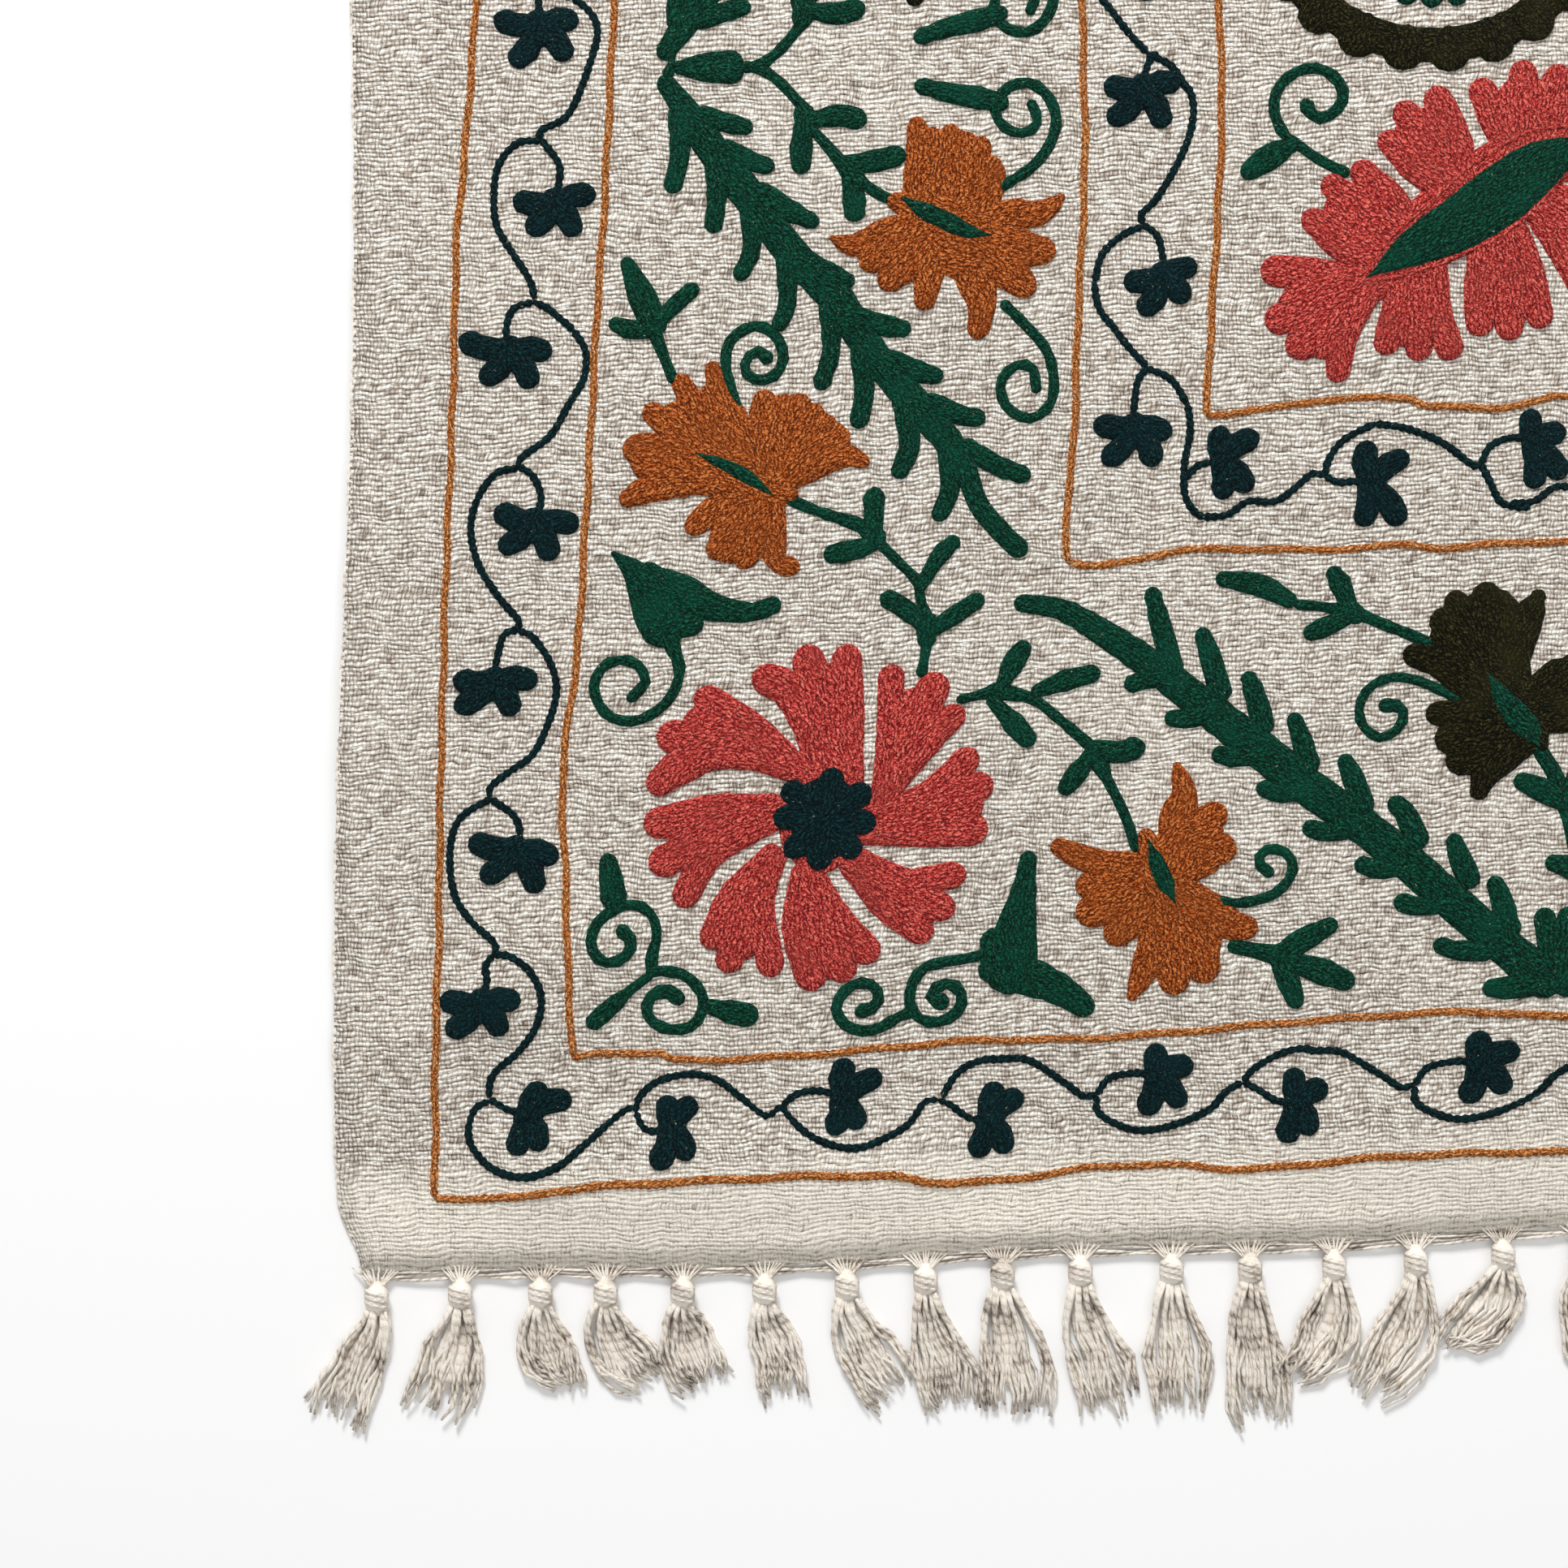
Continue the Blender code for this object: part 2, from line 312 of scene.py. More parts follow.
def weave_material():
    """Coarse plain weave of slubby yarn: the uv map is the woven place in metres."""
    m = Shader("handloom_cotton", rough=0.95, specular=0.1)
    place = m.place("woven")
    wander = m.math("SUBTRACT", m.noise(place, 70.0, 1.0), 0.5)
    u, v, _ = m.split(place)
    shake = m.math("SUBTRACT", m.noise(place, 260.0, 1.0), 0.5)
    drift = m.math("MULTIPLY_ADD", wander, 0.0040, m.math("MULTIPLY", shake, 0.0013))
    warp = m.math("MULTIPLY", m.math("ADD", drift, u), 1 / WARP_PITCH)
    weft = m.math("MULTIPLY", m.math("ADD", drift, v), 1 / WEFT_PITCH)
    warp_number, weft_number = m.math("FLOOR", warp), m.math("FLOOR", weft)
    weft_place = m.join(m.math("MULTIPLY", u, 300.0), m.math("MULTIPLY", weft_number, 7.3))
    warp_place = m.join(m.math("MULTIPLY", warp_number, 5.7), m.math("MULTIPLY", v, 190.0))
    weft_slub = m.math("SUBTRACT", m.noise(weft_place, 1.0, 1.0), 0.5)
    warp_slub = m.math("SUBTRACT", m.noise(warp_place, 1.0, 1.0), 0.5)
    warp_round = m.math("ABSOLUTE", m.math("SINE", m.math("MULTIPLY", warp, math.pi)))
    weft_round = m.math("ABSOLUTE", m.math("SINE", m.math("MULTIPLY", weft, math.pi)))
    swell = m.noise(m.stretch(place, 420.0, 800.0), 1.0, 1.0)
    weft_round = m.math("MAXIMUM", weft_round, m.math("MULTIPLY_ADD", swell, 1.7, -0.48))
    weft_over = m.math("ABSOLUTE", m.math("MODULO", m.math("ADD", warp_number, weft_number), 2.0))
    weft_sag = m.math("MULTIPLY_ADD", warp_round, 0.28, 0.74)
    weft_top = m.math("MULTIPLY", m.math("POWER", weft_round, 0.65), weft_sag)
    weft_top = m.math("MULTIPLY", weft_top, m.math("MULTIPLY_ADD", weft_slub, 2.4, 1.0))
    warp_sag = m.math("MULTIPLY_ADD", weft_round, 0.6, 0.30)
    warp_top = m.math("MULTIPLY", m.math("POWER", warp_round, 0.8), warp_sag)
    warp_top = m.math("MULTIPLY", warp_top, m.math("MULTIPLY_ADD", warp_slub, 1.6, 0.85))
    over = m.math("MULTIPLY", weft_over, weft_top)
    under = m.math("MAXIMUM", warp_top, m.math("MULTIPLY", weft_top, 0.66))
    height = m.math("MULTIPLY_ADD", m.math("SUBTRACT", 1.0, weft_over), under, over)
    fibre = m.noise(place, 3000.0, 1.0)
    height = m.math("MULTIPLY_ADD", m.math("SUBTRACT", fibre, 0.5), 0.35, height)
    # The colour follows the thread height: painted shade in the gaps between threads and painted highlight on
    # the thread tops, with fine fibre speckle of the cotton's own
    tone = m.math("MULTIPLY", height, 0.8)
    stops = ((0.06, (60, 52, 46)), (0.23, (140, 127, 116)), (0.45, (203, 192, 178)), (0.74, (255, 252, 243)))
    colour = m.ramp(tone, *stops)
    # Painted light: the weave is drawn brighter and creamier within 30 mm of the front hem, where that band
    # catches more light; random soft patches elsewhere get the same brighter colour
    hem_painted_light_and_patches = m.math("MULTIPLY", m.math("SUBTRACT", 0.030, v), 90.0, clamp=True)
    patch = m.math("SUBTRACT", m.noise(place, 11.0, 2.0), 0.5)
    hem_painted_light_and_patches = m.math("MULTIPLY_ADD", patch, 0.8, m.math("MULTIPLY", hem_painted_light_and_patches, 0.85), clamp=True)
    colour = m.mix(hem_painted_light_and_patches, colour, m.ramp(tone, (0.06, (132, 114, 98)), (0.34, (255, 247, 232))))
    pucker = m.noise(m.stretch(place, 30.0, 95.0), 1.0, 1.0)
    return m.finish(colour, m.math("MULTIPLY_ADD", pucker, 1.3, height), 0.0007, 1.0)


def grid_mesh(name, across, along):
    """A flat square grid of across by along cells."""
    mesh = bpy.data.meshes.new(name)
    bm = bmesh.new()
    bmesh.ops.create_grid(bm, x_segments=across, y_segments=along, size=0.5)
    bm.to_mesh(mesh)
    bm.free()
    return mesh


def add_uv(mesh, name, values):
    """Writes a uv map from one value to each point."""
    layer = mesh.uv_layers.new(name=name)
    corners = np.empty(len(mesh.loops), dtype=np.int64)
    mesh.loops.foreach_get("vertex_index", corners)
    layer.data.foreach_set("uv", np.asarray(values, dtype=np.float32)[corners].reshape(-1))


def make_ground():
    """The woven ground: one thin sheet on the folds of its solid."""
    mesh = grid_mesh("ground", SHEET_CELLS, SHEET_CELLS)
    flat = coordinates(mesh)
    woven = np.stack(((flat[:, 0] + 0.5) * WIDTH, (flat[:, 1] + 0.5) * LENGTH, np.zeros(len(flat))), axis=1)
    set_coordinates(mesh, lay(woven, SHEET_TOP))
    add_uv(mesh, "woven", woven[:, :2])
    bm = bmesh.new()
    bm.from_mesh(mesh)
    bmesh.ops.solidify(bm, geom=bm.faces[:], thickness=SHEET_THICK)
    bmesh.ops.recalc_face_normals(bm, faces=bm.faces)
    bm.to_mesh(mesh)
    bm.free()
    piece = add_object("embroidered_ground", mesh, weave_material())
    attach(piece, "root")
    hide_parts("ground_cloth")
    return piece


# Blades of each motif, read off the photo: rows of points (right, down, width) along
# the middle of a petal, leaf or finger, in pixels of the photo
ROSETTE_PETALS = (
    ((1010, 960, 40), (1003, 905, 44), (976, 852, 46), (947, 836, 42)),
    ((1025, 955, 40), (1012, 880, 56), (997, 813, 42)),
    ((1045, 958, 40), (1042, 880, 50), (1044, 812, 40)),
    ((1032, 955, 72), (1022, 895, 80), (1014, 852, 76)),
    ((1088, 975, 24), (1098, 900, 36), (1099, 834, 34)),
    ((1092, 975, 30), (1120, 912, 52), (1150, 848, 44)),
    ((1095, 978, 28), (1135, 917, 46), (1175, 882, 34)),
    ((1086, 985, 30), (1108, 925, 60), (1130, 882, 76)),
    ((1070, 1005, 28), (1130, 987, 36), (1172, 955, 36), (1190, 937, 38)),
    ((1070, 1012, 34), (1140, 997, 52), (1206, 969, 40)),
    ((1070, 1024, 36), (1140, 1020, 48), (1197, 1021, 44)),
    ((1080, 1014, 56), (1135, 1003, 76), (1172, 992, 84)),
    ((1050, 1055, 30), (1110, 1085, 34), (1174, 1078, 36)),
    ((1050, 1058, 34), (1110, 1095, 46), (1160, 1117, 38)),
    ((1048, 1060, 34), (1095, 1110, 48), (1134, 1145, 38)),
    ((1056, 1064, 44), (1100, 1096, 66), (1130, 1110, 72)),
    ((1000, 1075, 34), (1030, 1130, 40), (1068, 1170, 38)),
    ((996, 1075, 34), (1012, 1135, 54), (1038, 1190, 42)),
    ((990, 1078, 34), (988, 1140, 50), (1000, 1199, 44)),
    ((996, 1078, 40), (1010, 1130, 76), (1022, 1164, 88)),
    ((958, 1058, 24), (938, 1115, 36), (950, 1186, 36)),
    ((954, 1056, 30), (922, 1120, 46), (900, 1180, 38)),
    ((950, 1052, 28), (905, 1105, 42), (880, 1152, 36)),
    ((952, 1060, 30), (924, 1112, 58), (912, 1146, 78)),
    ((955, 1008, 32), (878, 1050, 38), (846, 1101, 36)),
    ((955, 1002, 34), (885, 1030, 50), (820, 1060, 42)),
    ((956, 996, 36), (885, 1000, 48), (814, 1013, 42)),
    ((948, 998, 46), (900, 1012, 66), (862, 1030, 84)),
    ((980, 948, 26), (930, 928, 34), (885, 928, 34), (845, 948, 34), (814, 963, 32)),
    ((980, 950, 30), (900, 915, 50), (830, 907, 42)),
    ((985, 945, 30), (930, 900, 42), (874, 862, 40)),
    ((964, 944, 30), (914, 910, 62), (876, 902, 80)),
    ((964, 944, 24), (890, 920, 56), (838, 942, 44), (815, 962, 38)),
    ((1017, 1000, 118), (1017, 1016, 118)),
)

ROSETTE_HEART = (
    ((1017, 1000, 92), (1017, 1016, 92)),
    ((1017, 1008, 36), (1025, 962, 36)),
    ((1017, 1008, 36), (1058, 979, 36)),
    ((1017, 1008, 36), (1064, 1012, 34)),
    ((1017, 1008, 36), (1047, 1042, 35)),
    ((1017, 1008, 36), (1011, 1055, 34)),
    ((1017, 1008, 36), (982, 1042, 34)),
    ((1017, 1008, 36), (970, 1006, 34)),
    ((1017, 1008, 36), (979, 976, 34)),
)

FLOWER_BY_ROSETTE = (
    ((895, 560, 20), (888, 500, 30), (879, 454, 22)),
    ((890, 565, 24), (862, 510, 34), (841, 472, 27)),
    ((880, 570, 26), (835, 532, 36), (806, 508, 30)),
    ((880, 580, 30), (830, 556, 44), (788, 552, 42)),
    ((900, 592, 24), (840, 592, 40), (797, 602, 36), (776, 612, 26)),
    ((925, 605, 24), (880, 628, 38), (858, 645, 30)),
    ((935, 610, 24), (905, 655, 44), (886, 674, 32)),
    ((945, 612, 24), (932, 660, 48), (920, 684, 34)),
    ((958, 612, 24), (954, 662, 34), (958, 690, 28), (974, 697, 26)),
    ((940, 590, 24), (940, 520, 36), (942, 494, 32)),
    ((948, 592, 26), (968, 530, 40), (984, 500, 36)),
    ((955, 594, 26), (995, 545, 40), (1016, 524, 34)),
    ((960, 596, 30), (1010, 564, 44), (1045, 560, 32), (1064, 567, 18)),
    ((862, 560, 34), (905, 582, 70), (950, 602, 54), (974, 608, 22)),
    ((915, 570, 50), (893, 522, 66), (881, 490, 44)),
    ((905, 580, 50), (862, 540, 84), (842, 520, 62)),
    ((885, 590, 44), (832, 574, 66), (804, 566, 56)),
    ((945, 612, 50), (912, 650, 78), (902, 664, 60)),
    ((955, 590, 56), (978, 545, 92), (992, 524, 64)),
    ((965, 585, 50), (1008, 552, 74), (1022, 544, 56)),
    ((950, 585, 40), (955, 535, 60), (962, 508, 50)),
)

FLOWER_UPPER = (
    ((1150, 250, 26), (1136, 190, 38), (1131, 154, 26)),
    ((1160, 250, 30), (1166, 200, 40), (1172, 164, 28)),
    ((1175, 255, 30), (1200, 205, 38), (1209, 180, 30)),
    ((1185, 260, 26), (1215, 226, 40), (1227, 213, 30)),
    ((1200, 272, 24), (1245, 262, 40), (1278, 262, 34), (1299, 250, 24), (1309, 241, 10)),
    ((1200, 285, 30), (1250, 303, 52), (1284, 307, 38)),
    ((1200, 290, 30), (1240, 328, 52), (1262, 349, 36)),
    ((1190, 290, 50), (1203, 340, 52), (1211, 372, 38), (1207, 402, 30)),
    ((1170, 285, 50), (1149, 322, 44), (1141, 366, 30)),
    ((1160, 280, 40), (1120, 320, 52), (1099, 341, 36)),
    ((1150, 275, 40), (1100, 304, 48), (1077, 317, 38)),
    ((1140, 268, 30), (1095, 288, 46), (1056, 300, 32), (1036, 296, 20), (1026, 291, 7)),
    ((1105, 246, 24), (1150, 262, 64), (1200, 282, 60), (1230, 290, 34)),
    ((1135, 250, 50), (1143, 205, 58), (1147, 180, 52)),
    ((1185, 255, 90), (1186, 215, 92), (1184, 190, 66)),
    ((1195, 260, 60), (1212, 230, 56), (1216, 212, 50)),
    ((1140, 270, 50), (1170, 296, 84), (1225, 305, 84), (1248, 302, 60)),
)

FLOWER_LOWER = (
    ((1440, 1050, 24), (1452, 1008, 48), (1461, 978, 34), (1456, 957, 24), (1452, 944, 13)),
    ((1445, 1055, 40), (1478, 1020, 50), (1497, 1004, 36)),
    ((1448, 1062, 40), (1485, 1045, 66), (1505, 1045, 42)),
    ((1455, 1080, 30), (1475, 1065, 40), (1486, 1060, 40)),
    ((1445, 1095, 50), (1490, 1123, 52), (1522, 1140, 38), (1535, 1142, 34)),
    ((1440, 1100, 40), (1470, 1150, 76), (1484, 1190, 44)),
    ((1438, 1100, 40), (1446, 1165, 64), (1448, 1206, 40)),
    ((1432, 1100, 40), (1426, 1160, 46), (1409, 1200, 34), (1397, 1225, 16)),
    ((1430, 1095, 40), (1395, 1130, 54), (1380, 1147, 40)),
    ((1425, 1085, 34), (1375, 1112, 52), (1347, 1122, 42)),
    ((1420, 1072, 34), (1375, 1086, 48), (1345, 1090, 38)),
    ((1412, 1066, 36), (1362, 1064, 36), (1328, 1053, 32), (1307, 1043, 24)),
    ((1414, 1030, 22), (1426, 1070, 60), (1446, 1110, 50), (1450, 1120, 30)),
    ((1445, 1060, 70), (1466, 1035, 72), (1480, 1030, 60)),
    ((1440, 1100, 84), (1452, 1135, 96), (1452, 1165, 84)),
    ((1420, 1085, 70), (1385, 1095, 80), (1368, 1102, 66)),
)

OLIVE_FLOWER = (
    ((1840, 850, 30), (1812, 780, 44), (1793, 742, 32)),
    ((1845, 850, 34), (1836, 780, 48), (1829, 736, 40)),
    ((1852, 850, 40), (1868, 790, 48), (1884, 754, 40), (1893, 736, 22)),
    ((1838, 855, 40), (1800, 795, 54), (1779, 765, 38)),
    ((1836, 860, 40), (1785, 820, 44), (1744, 806, 32)),
    ((1850, 880, 40), (1800, 880, 44), (1772, 878, 32)),
    ((1860, 890, 44), (1815, 905, 50), (1788, 908, 42)),
    ((1868, 898, 44), (1830, 925, 60), (1802, 934, 44)),
    ((1876, 902, 50), (1846, 930, 54), (1828, 955, 36), (1822, 972, 26)),
    ((1890, 912, 22), (1872, 922, 30)),
    ((1880, 872, 60), (1928, 842, 76), (1952, 816, 44)),
    ((1882, 878, 60), (1935, 856, 80), (1972, 850, 44)),
    ((1886, 880, 50), (1930, 878, 50), (1962, 884, 36)),
    ((1832, 836, 60), (1852, 868, 80), (1886, 900, 60), (1897, 916, 20)),
    ((1860, 850, 60), (1836, 795, 96), (1832, 766, 88)),
    ((1850, 870, 70), (1806, 812, 84), (1790, 782, 60)),
    ((1866, 886, 60), (1822, 906, 84), (1806, 912, 60)),
)

FLOWER_SLITS = (
    ((858, 557, 4), (880, 566, 14), (905, 577, 19), (930, 592, 18), (953, 609, 4)),
    ((1113, 243, 6), (1135, 256, 22), (1165, 270, 26), (1195, 284, 20), (1222, 288, 4)),
    ((1416, 1034, 4), (1424, 1056, 20), (1434, 1080, 26), (1442, 1097, 18), (1449, 1111, 4)),
    ((1831, 830, 4), (1846, 855, 24), (1868, 884, 36), (1884, 900, 30), (1892, 916, 8)),
)

LEAF_SPRAY_LEFT = (
    ((822, 102, 26), (850, 140, 36), (884, 190, 42), (930, 248, 44), (975, 308, 42), (1030, 365, 44),
     (1070, 425, 40), (1115, 480, 40), (1160, 530, 38), (1190, 570, 30)),
    ((867, 142, 30), (900, 150, 26), (918, 154, 22)),
    ((897, 184, 30), (930, 198, 26), (945, 202, 22)),
    ((940, 236, 30), (975, 258, 28), (1000, 270, 22)),
    ((997, 322, 30), (1030, 338, 26), (1044, 344, 22)),
    ((1049, 388, 30), (1090, 399, 28), (1112, 403, 24)),
    ((1101, 444, 30), (1135, 457, 28), (1152, 461, 24)),
    ((1149, 496, 30), (1185, 510, 26), (1204, 513, 24)),
    ((1192, 550, 26), (1230, 572, 26), (1260, 583, 24)),
    ((838, 140, 30), (838, 190, 26), (830, 225, 24)),
    ((882, 190, 30), (884, 240, 26), (880, 274, 24)),
    ((925, 255, 28), (927, 305, 24), (914, 334, 22)),
    ((969, 310, 28), (971, 370, 24), (962, 396, 22)),
    ((1023, 378, 28), (1025, 430, 24), (1014, 468, 24)),
    ((1062, 430, 30), (1066, 480, 26), (1060, 514, 26)),
    ((1114, 492, 30), (1122, 545, 28), (1111, 576, 26)),
    ((1170, 552, 30), (1172, 600, 26), (1160, 630, 24)),
    ((1188, 562, 28), (1206, 618, 26), (1236, 655, 26), (1256, 674, 26)),
)

LEAF_SPRAY_BOTTOM = (
    ((1262, 742, 24), (1310, 750, 28), (1360, 778, 34), (1420, 818, 40), (1487, 870, 44),
     (1549, 918, 48), (1610, 966, 48), (1672, 1010, 46), (1730, 1056, 46), (1790, 1110, 46),
     (1845, 1158, 46), (1900, 1204, 50)),
    ((1447, 822, 28), (1432, 770, 28), (1422, 732, 22)),
    ((1505, 850, 30), (1492, 805, 28), (1484, 782, 22)),
    ((1558, 890, 30), (1548, 855, 28), (1541, 836, 22)),
    ((1615, 940, 28), (1604, 905, 26), (1597, 886, 20)),
    ((1681, 990, 30), (1668, 955, 28), (1660, 938, 22)),
    ((1747, 1032, 30), (1732, 1000, 28), (1722, 990, 24)),
    ((1809, 1080, 30), (1798, 1055, 28), (1792, 1036, 22)),
    ((1858, 1143, 30), (1848, 1105, 28), (1841, 1088, 22)),
    ((1911, 1183, 36), (1905, 1150, 30), (1901, 1130, 28)),
    ((1439, 832, 28), (1410, 836, 26), (1398, 841, 24)),
    ((1496, 876, 28), (1466, 884, 26), (1448, 884, 24)),
    ((1558, 928, 28), (1525, 932, 26), (1506, 929, 24)),
    ((1615, 972, 28), (1580, 976, 26), (1561, 971, 24)),
    ((1672, 1018, 28), (1636, 1024, 26), (1618, 1020, 24)),
    ((1734, 1066, 28), (1700, 1070, 26), (1682, 1065, 24)),
    ((1783, 1110, 28), (1748, 1116, 26), (1730, 1111, 24)),
    ((1827, 1170, 28), (1795, 1170, 26), (1777, 1164, 22)),
    ((1880, 1212, 34), (1852, 1216, 28), (1838, 1216, 24)),
)

SPRIGS_LEFT = (
    ((774, 324, 20), (790, 360, 36), (806, 396, 36)),
    ((808, 398, 20), (832, 374, 22), (852, 356, 22)),
    ((800, 405, 22), (775, 404, 26), (760, 398, 20)),
    ((757, 681, 8), (785, 706, 36), (808, 745, 62), (818, 766, 64)),
    ((800, 700, 20), (840, 730, 50), (880, 747, 36), (925, 753, 26), (952, 745, 24)),
    ((808, 774, 32), (852, 768, 32)),
    ((1077, 660, 24), (1078, 612, 28)),
    ((1082, 668, 18), (1054, 676, 28), (1028, 681, 26)),
    ((1140, 770, 20), (1115, 748, 26), (1096, 737, 24)),
    ((1135, 722, 16), (1158, 684, 24), (1174, 668, 22)),
    ((1148, 776, 20), (1180, 755, 26), (1204, 739, 22)),
    ((1144, 768, 30), (1143, 784, 26)),
    ((1000, 146, 22), (1036, 140, 30), (1056, 144, 28)),
    ((992, 146, 24), (988, 180, 30), (988, 200, 26)),
    ((992, 140, 30), (996, 154, 28)),
    ((1048, 200, 24), (1080, 196, 30), (1104, 190, 28)),
    ((1050, 210, 26), (1053, 240, 30), (1054, 258, 28)),
    ((1044, 202, 26), (1056, 222, 28)),
    ((838, 78, 14), (870, 76, 28), (902, 74, 30)),
    ((1138, 104, 22), (1170, 112, 26), (1206, 118, 30), (1232, 124, 26)),
)

# Stems: rows of points (right, down, width), sewn a little wider by STEM_SWELL
STEMS_LEFT = (
    ((826, 787, 20), (838, 826, 14), (822, 864, 13), (784, 887, 13), (748, 879, 13), (732, 845, 13),
     (749, 816, 13), (782, 815, 13), (796, 838, 13), (780, 857, 15)),
    ((806, 405, 18), (818, 436, 14), (829, 464, 13)),
    ((919, 524, 6), (906, 489, 12), (896, 456, 13), (897, 425, 14), (914, 406, 14), (938, 400, 14),
     (959, 415, 14), (966, 440, 14), (956, 460, 14), (937, 467, 14), (920, 458, 13), (920, 441, 13),
     (934, 431, 14), (944, 438, 18)),
    ((1240, 374, 13), (1266, 400, 13), (1291, 430, 13), (1300, 468, 13), (1294, 498, 13),
     (1270, 514, 13), (1242, 500, 13), (1234, 470, 13), (1252, 449, 13), (1273, 451, 13),
     (1278, 476, 13)),
    ((1232, 230, 14), (1271, 205, 14), (1294, 177, 14), (1303, 146, 14), (1293, 117, 14),
     (1271, 100, 14), (1246, 104, 14), (1231, 120, 14), (1229, 141, 13), (1244, 158, 13),
     (1266, 161, 13), (1280, 147, 13), (1273, 127, 13)),
    ((978, 616, 15), (1013, 630, 13), (1059, 645, 18), (1080, 660, 24)),
    ((1087, 670, 13), (1110, 693, 12), (1130, 714, 12), (1136, 740, 12), (1143, 765, 20)),
    ((1143, 790, 14), (1140, 810, 12), (1137, 826, 14)),
    ((920, 79, 13), (941, 84, 15), (965, 102, 13), (990, 130, 15)),
    ((1008, 164, 14), (1024, 182, 14), (1042, 204, 20)),
    ((1062, 222, 16), (1082, 236, 14), (1099, 244, 14)),
)

SPRIGS_BOTTOM = (
    ((1235, 845, 18), (1250, 815, 30), (1260, 800, 26)),
    ((1224, 862, 16), (1250, 890, 28), (1266, 908, 26)),
    ((1280, 850, 18), (1312, 838, 28), (1346, 829, 24)),
    ((1352, 922, 26), (1380, 926, 30), (1398, 921, 30)),
    ((1346, 928, 20), (1326, 955, 28), (1316, 968, 24)),
    ((1268, 1058, 22), (1262, 1100, 34), (1252, 1150, 56), (1246, 1190, 70)),
    ((1226, 1160, 36), (1232, 1190, 50)),
    ((1224, 1194, 36), (1260, 1200, 50), (1300, 1215, 42), (1328, 1232, 34), (1335, 1238, 32)),
    ((1575, 1176, 24), (1610, 1156, 32), (1640, 1140, 22)),
    ((1585, 1182, 24), (1630, 1196, 34), (1658, 1207, 28)),
    ((1580, 1188, 26), (1592, 1215, 30), (1598, 1232, 22)),
    ((1510, 712, 22), (1555, 720, 30), (1590, 738, 22)),
    ((1666, 752, 20), (1655, 722, 28), (1646, 706, 22)),
    ((1664, 758, 20), (1635, 771, 28), (1618, 778, 22)),
    ((1660, 748, 28), (1672, 756, 26)),
)

STEMS_BOTTOM = (
    ((1186, 860, 12), (1205, 856, 12), (1228, 850, 20)),
    ((1240, 852, 20), (1274, 860, 14), (1309, 887, 13), (1346, 919, 16)),
    ((1356, 938, 24), (1366, 960, 14), (1381, 989, 13), (1393, 1018, 13), (1400, 1042, 13)),
    ((1214, 1175, 13), (1194, 1180, 13), (1163, 1185, 14), (1140, 1192, 14), (1127, 1207, 14),
     (1122, 1225, 14), (1124, 1243, 14), (1137, 1256, 13), (1156, 1259, 14), (1178, 1249, 15),
     (1187, 1231, 15), (1179, 1215, 15), (1162, 1212, 15), (1149, 1224, 18), (1159, 1233, 22)),
    ((1120, 1248, 14), (1105, 1254, 14), (1087, 1265, 14), (1064, 1270, 14), (1042, 1262, 14),
     (1031, 1243, 14), (1038, 1225, 14), (1054, 1212, 14), (1073, 1212, 14), (1084, 1225, 14),
     (1079, 1239, 16), (1064, 1245, 18)),
    ((1500, 1108, 13), (1520, 1112, 13), (1542, 1110, 13), (1573, 1100, 13), (1594, 1075, 13),
     (1589, 1052, 13), (1565, 1045, 13), (1551, 1060, 13), (1564, 1073, 15)),
    ((1524, 1166, 18), (1545, 1170, 18), (1574, 1176, 26)),
    ((1604, 744, 14), (1630, 746, 12), (1660, 752, 18)),
    ((1678, 756, 16), (1710, 770, 14), (1735, 780, 14), (1756, 790, 15)),
    ((1801, 865, 10), (1775, 850, 12), (1745, 837, 12), (1714, 834, 12), (1687, 848, 12),
     (1676, 874, 12), (1684, 897, 12), (1705, 908, 12), (1727, 892, 13), (1728, 871, 14),
     (1710, 868, 18)),
)

SPRIG_BELOW_OLIVE = (
    ((1874, 962, 24), (1900, 973, 32), (1924, 985, 28)),
    ((1924, 985, 26), (1945, 955, 32), (1950, 930, 24)),
    ((1912, 1062, 22), (1936, 1068, 32), (1958, 1080, 30)),
)

STEM_BELOW_OLIVE = (
    ((1892, 918, 18), (1902, 934, 18), (1913, 952, 20), (1922, 976, 20), (1930, 1010, 14),
     (1936, 1040, 14)),
)

SPRIG_CORNER = (
    ((750, 1062, 24), (754, 1085, 32), (757, 1104, 34)),
    ((876, 1240, 20), (900, 1246, 30), (920, 1250, 32)),
    ((800, 1202, 12), (775, 1221, 14), (752, 1241, 24), (733, 1258, 22)),
)

STEMS_CORNER = (
    ((804, 1194, 16), (804, 1176, 16), (810, 1155, 14), (806, 1131, 13), (792, 1117, 14),
     (772, 1114, 14), (752, 1123, 14), (735, 1139, 13), (729, 1162, 13), (739, 1181, 13),
     (756, 1185, 13), (774, 1175, 14), (779, 1159, 15), (769, 1147, 17)),
    ((804, 1196, 14), (822, 1196, 14), (844, 1201, 14), (861, 1217, 14), (868, 1235, 14),
     (860, 1257, 14), (845, 1267, 14), (822, 1267, 14), (803, 1257, 14), (797, 1241, 14),
     (804, 1226, 16), (821, 1220, 18), (834, 1228, 20)),
    ((829, 52, 8), (829, 70, 9), (824, 88, 14)),
)

